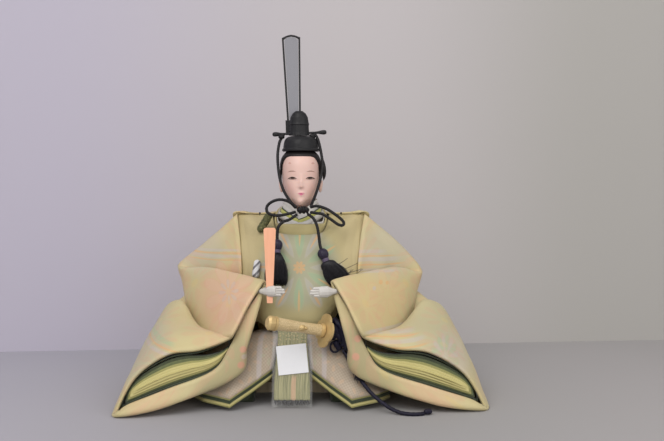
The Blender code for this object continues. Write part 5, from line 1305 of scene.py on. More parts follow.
def make_knee_padding(side):
    """Padding between the knee cloths and the table, closed all round, in the dark lining finish as painted
    shade under the knees.
    """
    top = panel_grid(side, 2 * PANEL_DROP)[CLOTH_STEPS:-CLOTH_STEPS, CLOTH_STEPS:-CLOTH_STEPS]
    top[..., 2] = np.maximum(top[..., 2] - PANEL_THICK - .0008, .0020)
    rows, columns = top.shape[:2]
    count = rows * columns
    under = top.copy()
    under[..., 1] += PADDING_PUSH * np.linspace(0, 1, rows)[:, None]
    under[..., 0] -= side * PADDING_SPREAD * np.linspace(-1, 1, columns)[None, :]
    under[..., 2] = .0002
    faces = []
    for i in range(rows - 1):
        for j in range(columns - 1):
            a, b = i * columns + j, i * columns + j + 1
            c, d = b + columns, a + columns
            faces += [(a, b, c, d), (d + count, c + count, b + count, a + count)]
    edge = (list(range(columns)) + [i * columns + columns - 1 for i in range(1, rows)]
            + [(rows - 1) * columns + j for j in range(columns - 2, -1, -1)]
            + [i * columns for i in range(rows - 2, 0, -1)])
    for a, b in zip(edge, edge[1:] + edge[:1]):
        faces.append((b, a, a + count, b + count))
    places = np.concatenate([top.reshape(-1, 3), under.reshape(-1, 3)])
    # The dark lining finish here is painted shade under the knees, not the padding's own colour.
    made = piece("knee_padding_" + SIDE[side], places, faces, LOOK["lining"], "seated_body")
    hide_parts("knee_wadding_" + SIDE[side])


# Head

# Rings of the head: height in shares of its height, then half width, front and back in shares
HEAD_PROFILE = [
    (-.26, .48, .38, .44), (-.09, .47, .37, .44), (-.03, .47, .62, .44), (.00, .50, .90, .46),
    (.05, .56, .99, .60),
    (.10, .65, 1.0, .74), (.19, .79, 1.0, .90), (.30, .91, .99, .97), (.41, .965, .985, 1.0),
    (.52, .985, .98, 1.0),
    (.68, .965, .95, .98), (.80, .84, .82, .88),
    (.88, .62, .53, .64), (.93, .38, .34, .38),
]
PROFILE_FINE = smooth_along(HEAD_PROFILE, 8)
FACE_X = .0010
NOSE_TIP, NOSE_ROOT = .1822, .1935
MOUTH_Z, EYE_Z = .1757, .1893


def bell(value, width):
    return math.exp(-(value / width) ** 2)


def face_relief(x, z):
    """How far the carved face stands out from the plain head."""
    x -= FACE_X
    if z > NOSE_TIP:
        rise = max(0.0, 1 - (z - NOSE_TIP) / (NOSE_ROOT - NOSE_TIP))
        nose = (.0004 + .0021 * rise ** 1.3) * bell(x, .0011 + .0007 * rise) * (rise > 0)
    else:
        nose = .0025 * bell(x, .0018) * bell(z - NOSE_TIP, .0014)
    sockets = -.0007 * sum(bell(x - side * .0062, .0040) for side in (-1, 1)) * bell(z - EYE_Z, .0032)
    lids = .0004 * sum(bell(x - side * .0062, .0036) for side in (-1, 1)) * bell(z - EYE_Z, .0014)
    upper = .0006 * bell(x, .0024) * bell(z - MOUTH_Z - .0009, .0007)
    lower = .0007 * bell(x, .0021) * bell(z - MOUTH_Z + .0010, .0008)
    chin = .0006 * bell(x, .0038) * bell(z - .1690, .0024)
    cheeks = .0004 * sum(bell(x - side * .0092, .0050) for side in (-1, 1)) * bell(z - .1800, .0060)
    return nose + sockets + lids + upper + lower + chin + cheeks


def head_section(z):
    rise = (z - CHIN) / HEAD_TALL
    wide, front, back = (np.interp(rise, PROFILE_FINE[:, 0], PROFILE_FINE[:, k]) for k in (1, 2, 3))
    return wide * FACE_HALF, front * FACE_FRONT, back * HEAD_BACK


def on_face(x, z, lift=0.0):
    wide, front, _ = head_section(z)
    y = -front * math.sqrt(max(1 - (x / wide) ** 2, .0))
    return np.array((x, y - face_relief(x, z) - lift, z))


BORE_RADIUS, BORE_DEEP = .0034, .0122
EAR_Z, EAR_HALF = .1822, .0054


def make_head():
    """Shell-white head, bored below for the neck stick."""
    sides = 96
    bottom = CORE_TOP + .0008
    rings = [hoop(np.array((0, 0, z)), np.array((BORE_RADIUS, 0, 0)), np.array((0, BORE_RADIUS, 0)), sides)
             for z in (bottom + BORE_DEEP, bottom)]
    for z in [bottom] + list(np.arange(CHIN - .012, CHIN + .92 * HEAD_TALL, .0006)):
        ring = []
        for x, y, _ in head_ring(*head_section(z), z, sides):
            if y < -.004:
                y -= face_relief(x, z)
                point_share = min(max((.1712 - z) / .0055, 0.0), 1.0) * min((-y - .004) / .012, 1.0)
                x *= 1.0 - .42 * point_share
            ring.append((x, y, z))
        rings.append(ring)
    made = loft("doll_head", rings, LOOK["skin"], "head", crease=60)
    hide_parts("head")
    for side in (RIGHT, LEFT):
        make_ear(side)


def make_ear(side):
    rings = []
    for t in np.linspace(-1, 1, 22):
        wide = math.sqrt(max(1 - t * t, .02))
        ring = []
        for a in angles(24):
            out = .0017 * wide * math.cos(a) + .0009 * t
            run = .0027 * wide * math.sin(a) * (1.0 + .25 * t)
            hollow = .0007 * wide * bell(run, .0013) * (math.cos(a) > 0) * bell(t - .1, .6)
            ring.append((side * (FACE_HALF + .0010 + out - hollow), .0010 + run, EAR_Z + t * EAR_HALF))
        rings.append(ring)
    loft("doll_ear_" + SIDE[side], rings, LOOK["ear"], "head")


def face_strip(name, places, widths, finish, lift):
    """Painted stroke that lies on the face."""
    path = smooth_along(places, 8)
    width = np.interp(np.linspace(0, 1, len(path)), np.linspace(0, 1, len(widths)), widths)
    tangents = np.gradient(path, axis=0)
    tangents /= np.maximum(np.linalg.norm(tangents, axis=1, keepdims=True), 1e-9)
    vertices, faces = [], []
    across = (-1.0, -.5, 0.0, .5, 1.0)
    for (x, z), (tx, tz), half in zip(path, tangents, width):
        for share in across:
            raised = lift * (1.0 - .8 * share * share)
            vertices.append(on_face(x - tz * half * share, z + tx * half * share, raised))
    count = len(across)
    for i in range(len(path) - 1):
        for j in range(count - 1):
            a = i * count + j
            faces.append((a, a + 1, a + 1 + count, a + count))
    return piece(name, vertices, faces, finish, "head")


# Painted strokes: points outward from the face's middle and up, half widths, finish and lift
SIDE_STROKES = [
    ("brow", [(.0048, .1952), (.0072, .1957), (.0096, .1956), (.0120, .1949)], (.0001, .00046, .00046, .0001),
     "brow", .00012),
    ("eye_white", [(.0042, .1889), (.0066, .1895), (.0092, .1895), (.0116, .1890)],
     (.0001, .00062, .00062, .0001), "eye_white", .00008),
    ("iris", [(.0058, .1894), (.0076, .18950), (.0094, .1894)], (.0004, .00070, .0004), "iris", .00018),
    ("upper_lid", [(.0038, .1888), (.0058, .19005), (.0086, .19030), (.0110, .1894), (.0123, .1886)],
     (.00012, .00040, .00048, .00036, .00006), "eye_line", .00024),
    ("lower_lid", [(.0046, .1885), (.0072, .18845), (.0098, .1886), (.0112, .1889)],
     (.00006, .00014, .00016, .00006), "iris", .00020),
    ("high_mark", [(.0088, .2024), (.0102, .2028), (.0116, .2025)], (.0002, .0010, .0002), "smudge", .00010),
    ("nostril", [(.0006, .1802), (.0011, .1803)], (.00012, .00016), "smudge", .00010),
]
MOUTH_STROKES = [
    ("upper_lip", [(-.0032, .1759), (-.0012, .1765), (0, .17630), (.0012, .1765), (.0032, .1759)],
     (.00006, .00040, .00042, .00040, .00006), "lip", .00012),
    ("lower_lip", [(-.0024, .1755), (0, .1751), (.0024, .1755)], (.00006, .00058, .00006), "lip", .00012),
    ("mouth_line", [(-.0024, .1756), (0, .1754),
    (.0024, .1756)], (.00004, .00010, .00004), "eye_line", .0003),
]


def make_face_paint():
    """Brows, narrow eyes, lips and the faint high brow marks."""
    strokes = [(stroke, side, "_" + SIDE[side]) for side in (RIGHT, LEFT) for stroke in SIDE_STROKES]
    strokes += [(stroke, 1, "") for stroke in MOUTH_STROKES]
    for (name, points, widths, finish, lift), side, tag in strokes:
        face_strip(name + tag, [(FACE_X + side * out, z) for out, z in points], widths, LOOK[finish], lift)


def hair_foot(angle):
    """Lower edge of the hair as a share of the head's height."""
    off = abs(math.degrees(math.atan2(math.cos(angle), -math.sin(angle))))
    degrees = (0, 38, 52, 61, 70, 80, 92, 104, 125, 180)
    shares = (.800, .800, .785, .74, .66, .58, .53, .50, .22, .10)
    return float(np.interp(off, degrees, shares))


HAIR_CREST = .925
LOCK_TOP, LOCK_FOOT, LOCK_SPREAD = .2080, .1890, (-.003, .004)


def beside_head(side, y, z, off):
    """Place on the head's side at a depth and height, a little off its skin."""
    wide, front, _ = head_section(z)
    return side * (wide * math.sqrt(max(1 - (y / front) ** 2, 0)) + off), y, z


def make_hair():
    """Smooth drawn-back hair with a clean hairline, and loose temple locks."""
    sides, rows = 120, 30
    grid = np.zeros((rows, sides, 3))
    for j, a in enumerate(angles(sides)):
        foot = hair_foot(a)
        for i, t in enumerate(np.linspace(0, 1, rows)):
            z = CHIN + (foot + (HAIR_CREST - foot) * t) * HEAD_TALL
            wide, front, back = head_section(z)
            proud = .0006 + .0013 * min(t * 4, 1.0) + .00025 * math.sin(a * 41 + t * 5) * min(t * 3, 1)
            deep = front if math.sin(a) < 0 else back
            grid[i, j] = ((wide + proud) * math.cos(a), (deep + proud) * math.sin(a), z)
    inner = grid[0] + (grid[0] - grid[0].mean(axis=0)) * -.02
    grid = np.concatenate([inner[None], grid])
    made = sheet_piece("drawn_hair", grid, LOOK["hair"], "head", 0.0, closed=True)
    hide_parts("hair")
    picks = np.random.default_rng(5)
    threads = []
    for side in (RIGHT, LEFT):
        for _ in range(60):
            z = LOCK_TOP + picks.uniform(*LOCK_SPREAD)
            start = beside_head(side, picks.uniform(-.0085, .0020), z, .0010)
            foot = LOCK_FOOT + picks.uniform(*LOCK_SPREAD)
            end_y = -.0050 + picks.uniform(-.0018, .0018)
            end = beside_head(side, end_y, foot, .0012 + picks.uniform(0, .0007))
            threads.append((start, end, (side * .0008, 0, 0)))
    strands_piece("temple_locks", threads, .00020, LOOK["hair"], "head", 3, 8, .0001)


# Cap

CAP_PROFILE = [(0.0, 1.030), (.05, 1.062), (.13, 1.062), (.18, 1.030), (.21, 1.000), (.36, .990), (.54, .965),
               (.70, .920), (.82, .850), (.91, .74), (.965, .58), (.99, .34), (1.0, .05)]


def make_cap():
    """Domed cap with a rolled rim and a middle seam."""
    rings = []
    for rise, wide in smooth_along(CAP_PROFILE, 4):
        ring = []
        middle = np.array((0, CAP_Y, CAP_BOTTOM + rise * CAP_TALL))
        for x, y, z in hoop(middle, np.array((wide * CAP_HALF, 0, 0)), np.array((0, wide * CAP_DEEP, 0)), 96):
            seam = .0005 * bell(x, .0009) * (y < CAP_Y) * (rise > .2)
            ring.append((x, y - seam, z + seam * .4))
        rings.append(ring)
    made = loft("cap_dome", rings, LOOK["lacquer"], "head")
    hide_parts("cap")


# Cords and tassels

CHIN_RIGHT = [(-.0152, .0010, .2290), (-.0172, -.0008, .2255), (-.0192, -.0030, .2205),
              (-.0204, -.0065, .2100),
              (-.0196, -.0095, .1975), (-.0176, -.0130, .1870), (-.0142, -.0175, .1780),
              (-.0085, -.0240, .1695),
              (-.0030, -.0288, .1645)]
CHIN_LEFT = [(.0124, .0010, .2295), (.0146, -.0008, .2260), (.0166, -.0030, .2200), (.0190, -.0065, .2080),
             (.0196, -.0090, .2000), (.0184, -.0110, .1920), (.0164, -.0140, .1840), (.0136, -.0190, .1752),
             (.0096, -.0290, .1652)]
LOOP_RIGHT = [(-.0036, -.0310, .1640), (-.0080, -.0330, .1685), (-.0150, -.0345, .1710),
              (-.0220, -.0350, .1700),
              (-.0275, -.0350, .1660), (-.0280, -.0355, .1610), (-.0240, -.0360, .1580),
              (-.0170, -.0360, .1575),
              (-.0090, -.0355, .1590), (-.0036, -.0340, .1604)]
LOOP_LEFT = [(.0096, -.0310, .1645), (.0150, -.0335, .1655), (.0230, -.0350, .1632), (.0310, -.0365, .1582),
             (.0362, -.0372, .1540), (.0382, -.0378, .1510), (.0368, -.0384, .1490), (.0330, -.0387, .1500),
             (.0270, -.0385, .1542), (.0200, -.0374, .1586), (.0150, -.0365, .1594), (.0096, -.0345, .1602)]
END_RIGHT = [(-.0022, -.0347, .1582), (-.0080, -.0376, .1543), (-.0140, -.0392, .1520),
             (-.0178, -.0402, .1480),
             (-.0188, -.0408, .1420), (-.0188, -.0415, .1370)]
END_LEFT = [(.0072, -.0343, .1585), (.0120, -.0375, .1550), (.0150, -.0392, .1490), (.0166, -.0402, .1410),
            (.0176, -.0412, .1330), (.0186, -.0420, .1290)]


CAP_CORDS = [("chin_cord_r", "chin_cord_right", CHIN_RIGHT), ("chin_cord_l", "chin_cord_left", CHIN_LEFT),
             ("bow_r", "bow_loop_right", LOOP_RIGHT), ("bow_l", "bow_loop_left", LOOP_LEFT),
             ("hanging_r", "cord_end_right", END_RIGHT), ("hanging_l", "cord_end_left", END_LEFT)]
KNOT_ROUTE = [(-.0024, -.0325, .1622), (.0030, -.0331, .1620), (.0084, -.0325, .1622)]


def make_cap_cords():
    """Chin cords, bow loops and hanging ends, the knot and its wraps, and the knots at the pin."""
    for name, node, route in CAP_CORDS:
        made, path = cord_piece(name, route, CORD_RADIUS * 1.12, LOOK["cord"], "head", plies=4,
                                pitch=3.6, steps=12)
        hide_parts(node)
    knot = braid_piece("knot_core", KNOT_ROUTE, .0027, LOOK["cord"], "head")
    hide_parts("bow_knot")
    for index, (x, lean) in enumerate(((.0012, .0008), (.0036, -.0002), (.0058, -.0010))):
        loop = [(x + lean * math.cos(a), -.0326 + .0026 * math.sin(a), .1621 + .0026 * math.cos(a))
                for a in np.linspace(.3, 2 * math.pi - .3, 9)]
        cord_piece("knot_wrap_%d" % index, loop, CORD_RADIUS * .85, LOOK["cord"], "head", plies=4,
                   steps=6)
    for index, (x, z) in enumerate(((-.0172, .2262), (.0105, .2268))):
        route = [(x - .0024, -.0012, z), (x, -.0028, z + .0004), (x + .0024, -.0012, z)]
        braid_piece("pin_knot_%d" % index, route, .0021, LOOK["cord"], "head")


TASSEL_KNOB, TASSEL_FOOT = .0045, .0096
TASSEL_THREADS, LOOSE_THREADS = 430, {RIGHT: 5, LEFT: 9}
TASSEL_DRIFT = {RIGHT: (.0, -.0012, .0006), LEFT: (.0050, -.0012, .0006)}
# Profiles in shares of the knob: run and radius
KNOB_PROFILE = [(.25, .72), (.7, .98), (1.2, 1.0), (1.7, .84), (2.05, .62)]
BINDING_TURN = .00045


def make_tassel(side, place, lean, length):
    """Bound head, wrapped neck and a skirt of single threads."""
    body, tag = "tassel_" + SIDE[side], SIDE[side]
    place = np.array(place)
    down, across, up = axes_of(lean, (0.0, -1.0, 0.0))
    head, foot = TASSEL_KNOB, TASSEL_FOOT
    drift = np.array(TASSEL_DRIFT[side])
    profile = smooth_along([(0, .0019)] + [(head * run, head * radius) for run, radius in KNOB_PROFILE], 5)
    rings = []
    for run, radius in profile:
        ring = []
        for a in angles(84):
            ribbed = radius * (1 + .03 * math.cos(a * 14))
            ring.append(place + down * run + ribbed * (across * math.cos(a) + up * math.sin(a)))
        rings.append(ring)
    made = loft("tassel_knob_" + tag, rings, LOOK["tassel_head"], body)
    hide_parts("tassel_" + tag)
    rings = []
    for run in np.linspace(head * 1.95, head * 2.55, 19):
        radius = head * .70 + .00022 * math.cos((run - head * 1.95) / BINDING_TURN * math.pi)
        rings.append(hoop(place + down * run, across * radius, up * radius, 32))
    loft("tassel_binding_" + tag, rings, LOOK["binding"], body)
    picks = np.random.default_rng(20 + side)
    top = head * 2.45
    threads = []
    for _ in range(TASSEL_THREADS):
        a = picks.uniform(0, 2 * math.pi)
        deep = math.sqrt(picks.uniform(.15, 1))
        start = place + down * top + head * .60 * deep * (across * math.cos(a) + up * math.sin(a))
        end = place + down * (length - picks.uniform(0, .0018)) + drift
        end = end + foot * deep * (across * math.cos(a) + up * .30 * math.sin(a))
        threads.append((start, end, (across * math.cos(a) + up * .5 * math.sin(a)) * .0030 * deep))
    for _ in range(LOOSE_THREADS[side]):
        start = place + down * length * picks.uniform(.52, .86)
        start = start + across * foot * .6 * picks.uniform(-1, 1) + drift * .6
        if side == LEFT:
            spread = np.array((picks.uniform(.005, .023), 0, picks.uniform(-.003, .008)))
        else:
            spread = picks.normal(0, .002, 3)
        threads.append((start, start + spread, (0, 0, picks.uniform(-.0042, .0008))))
    strands_piece("tassel_skirt_" + tag, threads, .00030, LOOK["tassel"], body, 30 + side, 8,
                  .00016)
    rings = []
    for run, radius, flat in ((top, head * .55, .9), (length * .45, foot * .70, .56),
                              (length * .8, foot * .82, .28), (length * .94, foot * .80, .24)):
        middle = place + down * run + drift * (run - top) / (length - top)
        rings.append(hoop(middle, across * radius, up * radius * flat, 24))
    loft("tassel_heart_" + tag, smooth_along(rings, 4), LOOK["tassel"], body)


# Half widths of the side lock along its run
LOCK_SHAPE = ((0.0, .0009), (.10, .0013), (.35, .0017), (.65, .0017), (.85, .0011), (.96, .0004),
              (1.0, .0001))


def make_side_lock():
    """Flat lock of hair that hangs outside the cord on the left."""
    rings = []
    for run, half in LOCK_SHAPE:
        middle = np.array((.0197 + .0014 * math.sin(run * 2.6), .0010, .2060 - .0186 * run))
        rings.append(hoop(middle, np.array((half, 0, 0)), np.array((0, .0030 * half / .0017, 0)), 20))
    loft("side_lock", smooth_along(rings, 4), LOOK["hair"], "head")


PIN_HALF = .0243
# Run from the pin's end, and radius
PIN_END = [(0, .0007), (.0006, .0016), (.0022, .00205), (.0045, .00185), (.0075, .00125), (.0100, .00100)]


def make_hairpin():
    """Lacquered pin through the cover, with long drop-shaped ends."""
    profile = smooth_along([(-PIN_HALF + run, radius) for run, radius in PIN_END], 5)
    profile = np.concatenate([profile, (profile * (-1, 1))[::-1]])
    made = turned("cover_pin", profile, LOOK["lacquer"], "head", (-.0012, .00064, .2298), (1.0, 0, .042), 32,
                  "black_lacquer")
    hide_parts("hairpin")


def make_shoulder_braids():
    """Olive braid at the right shoulder, the striped ribbon end beside the chest, and two small pins."""
    route = robe_points([(-.172, -.250, .997), (-.195, -.262, .957), (-.218, -.272, .922),
                        (-.238, -.280, .892)])
    made = braid_piece("collar_braid", route, .0037, LOOK["braid"], "seated_body")
    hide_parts("collar_toggle")
    route = robe_points([(-.240, -.362, .745), (-.247, -.388, .695), (-.252, -.408, .650)])
    made = braid_piece("chest_ribbon", route, .0033, LOOK["tab"], "seated_body", bead=3.0)
    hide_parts("chest_tab")
    profile = [(0, .0002), (.0016, .0002), (.0018, .0007), (.0024, .0009), (.0031, .0006), (.0033, .0001)]
    for index, side in enumerate((RIGHT, LEFT)):
        turned("shoulder_pin_%d" % index, profile, LOOK["lacquer"], "seated_body", (side * .0360, -.012, .1562),
               (0, 0, 1), 16, "black_lacquer")


# Sword

SWORD_PLACE = np.array((.147 * HALF_SPAN, -.740 * REACH, .400 * SHOULDER))
SWORD_ALONG, SWORD_ACROSS, SWORD_UP = axes_of((.80, .56, -.21))


# Gold bands round the sword: start and end along it, and how far they stand out
GOLD_BANDS = (("grip_ferrule", -.0050, -.0016, 1.10), ("grip_end_ring", -.0498, -.0478, 1.12),
              ("scabbard_mouth", .0104, .0124, 1.16))
GRIP_HALVES, SCABBARD_HALVES = (.0052, .0036), (.0042, .0030)
# Section of a flower stud: lift and share of its size
STUD_SECTION = ((-.0004, 1.0), (.0003, 1.0), (.0008, .72), (.0010, .40), (.0013, .28), (.0014, .06))
WINDING_TURNS = 4


def make_sword_trim():
    """Gold ferrules, the small flower studs on the grip and the wound cord."""
    for name, start, end, grow in GOLD_BANDS:
        tall, deep = GRIP_HALVES if end < 0 else SCABBARD_HALVES
        steps = ((start, .94), (start, 1.0), ((start + end) / 2, 1.03), (end, 1.0), (end, .94))
        rings = [hoop(SWORD_PLACE + SWORD_ALONG * run, SWORD_ACROSS * deep * grow * swell,
                      SWORD_UP * tall * grow * swell, 40) for run, swell in steps]
        loft(name, rings, LOOK["gold"], "sword", crease=40)
    for index, (run, size) in enumerate(((-.0245, .0026), (-.0215, .0016))):
        centre = SWORD_PLACE + SWORD_ALONG * run - SWORD_ACROSS * .0032
        rings = []
        for lift, share in STUD_SECTION:
            ring = []
            for a in angles(60):
                lobed = size * share * (.80 + .20 * abs(math.cos(a * 3)))
                around = SWORD_ALONG * math.cos(a) * 1.25 + SWORD_UP * math.sin(a)
                ring.append(centre - SWORD_ACROSS * lift + lobed * around)
            rings.append(ring)
        loft("grip_flower_%d" % index, rings, LOOK["gold"], "sword")
    route = []
    for t in np.linspace(0, 1, 64):
        a = t * 2 * math.pi * WINDING_TURNS
        route.append(SWORD_PLACE + SWORD_ALONG * (.0030 + .0064 * t)
                     + (SWORD_UP * math.sin(a) * .0060 + SWORD_ACROSS * math.cos(a) * .0056))
    made, _ = cord_piece("scabbard_winding", route, .0010, LOOK["navy"], "sword", steps=3,
                         sides=10)
    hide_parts("sword_cord_wrap")


# Sash and its clear sleeve

SASH_PLACE = np.array((-.033 * HALF_SPAN, -.615 * REACH, .395 * SHOULDER))
SASH_LEAN = math.radians(14.0)
SASH_DOWN = np.array((0.0, -math.sin(SASH_LEAN), -math.cos(SASH_LEAN)))
SASH_FRONT = np.array((0.0, -math.cos(SASH_LEAN), math.sin(SASH_LEAN)))
SASH_LENGTH, SASH_TOP_WIDTH, SASH_FOOT_WIDTH = .0585, .0245, .0300
FILM_HALF, FILM_DEEP, FILM_LENGTH = .0168, .0019, .0640


def make_sash():
    """Hanging ribbon, a little wider below, with a fringe of single threads."""
    rows, columns = 40, 34
    grid = np.zeros((rows, columns, 3))
    for i, run in enumerate(np.linspace(0, SASH_LENGTH, rows)):
        flare = min(max((run - .012) / .034, 0.0), 1.0)
        for j, share in enumerate(np.linspace(-.5, .5, columns)):
            wide = SASH_TOP_WIDTH + (SASH_FOOT_WIDTH - SASH_TOP_WIDTH) * flare
            lift = -.0003 + .00012 * math.sin(share * 40)
            grid[i, j] = SASH_PLACE + np.array((share * wide, 0, 0)) + SASH_DOWN * run + SASH_FRONT * lift
    made = sheet_piece("sash_ribbon", np.swapaxes(grid, 0, 1), LOOK["sash"], "sash", .0005,
                       flip=True)
    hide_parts("sash")
    threads = []
    picks = np.random.default_rng(9)
    for _ in range(150):
        x = picks.uniform(-.5, .5) * SASH_FOOT_WIDTH
        start = SASH_PLACE + np.array((x, 0, 0)) + SASH_DOWN * (SASH_LENGTH - .0006)
        start = start + SASH_FRONT * picks.uniform(-.0003, .0003)
        drop = SASH_DOWN * (.0048 - picks.uniform(0, .0022))
        threads.append((start, start + drop + np.array((picks.normal(0, .0006), 0, 0)), (0, 0, 0)))
    made = strands_piece("sash_threads", threads, .00024, LOOK["tassel"], "sash", 12, 5, .0001)
    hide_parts("sash_fringe")


def make_clear_sleeve():
    """Flat clear sleeve: two films joined at softly rounded sides."""
    rings = []
    for run in np.linspace(0, FILM_LENGTH, 34):
        ring = []
        for a in angles(72):
            c, s = math.cos(a), math.sin(a)
            x = FILM_HALF * math.copysign(abs(c) ** .25, c)
            d = FILM_DEEP * math.copysign(abs(s) ** .7, s)
            point = SASH_PLACE + np.array((x, 0, 0)) + SASH_DOWN * run + SASH_FRONT * (.0007 + d)
            ring.append(point + SASH_FRONT * .00035 * noise.noise(Vector((x * 90, run * 60, s))))
        rings.append(ring)
    made = loft("film_sleeve", rings, LOOK["film"], "sash", caps=False)
    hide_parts("clear_sleeve")


# Navy cord

NAVY_ROUTE = [(.0370, -.0688, .0472), (.0390, -.0700, .0446), (.0412, -.0718, .0405), (.0440, -.0742, .0350),
              (.0478, -.0778, .0295), (.0515, -.0818, .0248), (.0552, -.0855, .0205), (.0590, -.0885, .0165),
              (.0640, -.0905, .0120), (.0695, -.0925, .0080), (.0755, -.0948, .0045), (.0825, -.0980, .0022),
              (.0895, -.1004, .0016), (.0960, -.1005, .0015), (.1015, -.0985, .0015)]


NAVY_LOOPS = (
    [(.0288, -.0668, .0715), (.0262, -.0690, .0690), (.0268, -.0712, .0655), (.0300, -.0722, .0625),
     (.0338, -.0722, .0590), (.0352, -.0710, .0550)],
    [(.0300, -.0672, .0722), (.0322, -.0700, .0700), (.0352, -.0718, .0668), (.0378, -.0722, .0622),
     (.0384, -.0716, .0570), (.0370, -.0706, .0510)],
    [(.0318, -.0690, .0672), (.0346, -.0704, .0640), (.0368, -.0712, .0590), (.0392, -.0716, .0540),
     (.0400, -.0716, .0480)])
TUFT_START, TUFT_END = (.0462, -.0784, .0345), (.0515, -.0850, .0262)


def make_navy_cord():
    """The laid cord with its end knob, the bundle of loops, the small ring and the tuft."""
    made, path = cord_piece("navy_cord_laid", NAVY_ROUTE, NAVY_RADIUS * 1.2, LOOK["navy"], "seated_body",
                            plies=4, pitch=5.0, steps=10)
    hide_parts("navy_cord")
    paint("navy_cord_end", LOOK["navy"])
    bundle = robe_points([(.201, -.701, .3465), (.222, -.698, .312), (.240, -.690, .300)])
    made = braid_piece("navy_knot", bundle, .0030, LOOK["navy"], "seated_body", bead=.9)
    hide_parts("navy_bundle")
    for index, route in enumerate(NAVY_LOOPS):
        cord_piece("navy_loop_%d" % index, route, .0026, LOOK["navy"], "seated_body", plies=4,
                   pitch=4.0)
    ring = [(.0302 + .0036 * math.cos(a), -.0712 - .0004 * math.sin(a), .0500 + .0044 * math.sin(a))
            for a in np.linspace(1.75, 1.75 + 2 * math.pi * .94, 14)]
    cord_piece("navy_ring", ring, .0009, LOOK["navy"], "seated_body", steps=6)
    picks = np.random.default_rng(17)
    threads = []
    for _ in range(70):
        start = np.array(TUFT_START) + picks.normal(0, .0006, 3)
        end = np.array(TUFT_END) + picks.normal(0, 1, 3) * (.0028, .0008, .0016)
        threads.append((start, end, picks.normal(0, .0005, 3)))
    strands_piece("navy_tuft", threads, .00028, LOOK["navy"], "seated_body", 18, 6, .0002)


# Room

# The wall's foot passes through these two places of the table
WALL_LEFT, WALL_RIGHT = (-.333, .168), (.416, .241)
WALL_BEYOND, WALL_TALL = 3.0, 3.0
TABLE_CORNERS = [(-4, -3, 0), (4, -3, 0)]
# Tones from left to right, painted light and shade: the wall lighter on the left and darker towards the right,
# the table darkest a little right of the doll's middle
TABLE_PAINTED_SHADE_TONES = ((.40, .39, .43), (.335, .33, .325), (.385, .37, .365))
WALL_PAINTED_LIGHT_TONES = ((.47, .445, .52), (.50, .475, .48), (.40, .39, .365))
# Lights: name, place, target, size, power, colour
LIGHTS = (("window_light", (-.45, -1.20, 1.25), (0, 0, .08), 1.0, 14.0, (1.0, .97, .93)),
          ("low_light", (-.10, -1.00, .12), (0, 0, .14), .9, 2.0, (1.0, .96, .94)),
          ("fill_light", (.90, -1.05, .80), (0, 0, .08), 1.2, 7.0, (1.0, .96, .90)))
SKY_COLOUR, SKY_STRENGTH = (.93, .93, 1.0, 1.0), .62
CAMERA_PLACE, CAMERA_DIP, CAMERA_LENS = (.028, -.810, .188), 2.58, 48.8


def unseen_from_behind(finish):
    """The wall shows only its front, so that the back of the doll can be looked at."""
    nodes, links = finish.tree.nodes, finish.tree.links
    facing = nodes.new("ShaderNodeNewGeometry")
    clear = nodes.new("ShaderNodeBsdfTransparent")
    either = nodes.new("ShaderNodeMixShader")
    links.new(facing.outputs["Backfacing"], either.inputs[0])
    links.new(finish.shader.outputs[0], either.inputs[1])
    links.new(clear.outputs[0], either.inputs[2])
    surface = next(node for node in nodes if node.bl_idname == "ShaderNodeOutputMaterial")
    links.new(either.outputs[0], surface.inputs["Surface"])


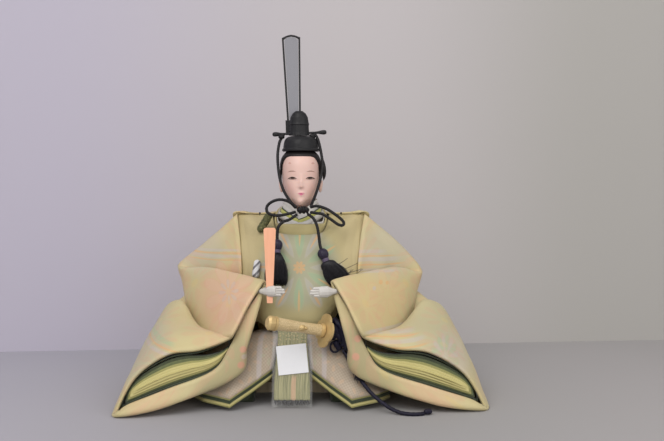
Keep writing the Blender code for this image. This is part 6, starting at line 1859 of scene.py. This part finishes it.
def make_room():
    """Pale table and wall with painted light and shade across them, soft studio light and the camera."""
    scene = bpy.context.scene
    wall_left, wall_right = np.array(WALL_LEFT), np.array(WALL_RIGHT)
    run = (wall_right - wall_left) / np.linalg.norm(wall_right - wall_left)
    left, right = tuple(wall_left - run * WALL_BEYOND), tuple(wall_right + run * WALL_BEYOND)
    table_face = TABLE_CORNERS + [right + (0,), left + (0,)]
    wall_face = [left + (0,), right + (0,), right + (WALL_TALL,), left + (WALL_TALL,)]
    for name, corners, tones in (("table_top", table_face, TABLE_PAINTED_SHADE_TONES), ("wall", wall_face, WALL_PAINTED_LIGHT_TONES)):
        mesh = bpy.data.meshes.new(name)
        mesh.from_pydata(corners, [], [(0, 1, 2, 3)])
        made = bpy.data.objects.new(name, mesh)
        scene.collection.objects.link(made)
        finish = Finish(name + "_paint", .9)
        tree = finish.tree
        x, _, _ = parts_of(tree, finish.on_solid())
        tone = MOTTLE.place(tree, Place=finish.on_solid(), Size=.25, Strength=.5)
        # The tones mixed across the table and wall are painted light and shade.
        mixed = tint(tree, step_up(tree, x, -.30, .06), rgb(*tones[0]), rgb(*tones[1]))
        mixed = tint(tree, step_up(tree, x, .06, .34), mixed, rgb(*tones[2]))
        finish.colour(tint(tree, calc(tree, "MULTIPLY", tone["Tone"], .10), mixed, rgb(.5, .48, .5)))
        finish.shader.inputs["Specular IOR Level"].default_value = .2
        if name == "wall":
            unseen_from_behind(finish)
        mesh.materials.append(finish.material)
    world = bpy.data.worlds.new("soft_room")
    scene.world = world
    world.use_nodes = True
    world.node_tree.nodes["Background"].inputs[0].default_value = SKY_COLOUR
    world.node_tree.nodes["Background"].inputs[1].default_value = SKY_STRENGTH
    for name, place, target, size, energy, colour in LIGHTS:
        lamp = bpy.data.lights.new(name, "AREA")
        lamp.size = size
        lamp.energy = energy
        lamp.color = colour
        holder = bpy.data.objects.new(name, lamp)
        scene.collection.objects.link(holder)
        holder.location = place
        holder.rotation_euler = (Vector(target) - Vector(place)).to_track_quat("-Z", "Y").to_euler()
    camera = bpy.data.cameras.new("photo_view")
    camera.lens = CAMERA_LENS
    camera.clip_start = .02
    holder = bpy.data.objects.new("photo_view", camera)
    scene.collection.objects.link(holder)
    holder.location = CAMERA_PLACE
    holder.rotation_euler = (math.radians(90 - CAMERA_DIP), 0, 0)
    scene.camera = holder
    scene.view_settings.view_transform = "Standard"


make_room()
make_navy_cord()
for side in (RIGHT, LEFT):
    make_sleeve(side)
    make_cuffs(side)
    make_knee(side)
    make_knee_padding(side)
make_robe_body()
make_collar()
for name, node, inset, rise, tall, finish, slot in (
        ("neck_cloth_white", "inner_collar_white", .0026, -.0014, .0054, "white", "white_silk"),
        ("neck_cloth_lime", "inner_collar_lime", .0046, -.0008, .0074, "lime_edge", "lime_silk"),
        ("neck_cloth_dark", None, .0056, -.0004, .0078, "lining", "white_silk"),
        ("neck_cloth_inner", None, .0066, .0000, .0110, "white", "white_silk"),
        ("neck_cloth_inmost", None, .0080, .0020, .0125, "white", "white_silk")):
    make_inner_collar(name, node, inset, rise, tall, LOOK[finish])
make_belt()
make_shoulder_braids()
make_head()
make_face_paint()
make_hair()
make_cap()
make_cap_cords()
make_side_lock()
make_hairpin()
make_tassel(RIGHT, END_RIGHT[-1], (-.02, -.22, -1.0), .0395)
make_tassel(LEFT, END_LEFT[-1], (.37, -.13, -.90), .0310)
make_sword_trim()
make_sash()
make_clear_sleeve()

for node, finish in (
        ("base_block", "board"), ("straw_core", "straw"), ("neck_stick", "stick"), ("arm_right", "paper"),
        ("arm_left", "paper"), ("hand_right", "white"), ("hand_left", "white"), ("topknot_cover", "lacquer"),
        ("tail_frame", "lacquer"), ("tail_gauze", "gauze"), ("baton", "baton"), ("sword_hilt", "ivory"),
        ("sword_pommel", "gold"), ("sword_guard", "gold"), ("scabbard", "lacquer"), ("blank_card", "card")):
    paint(node, LOOK[finish])
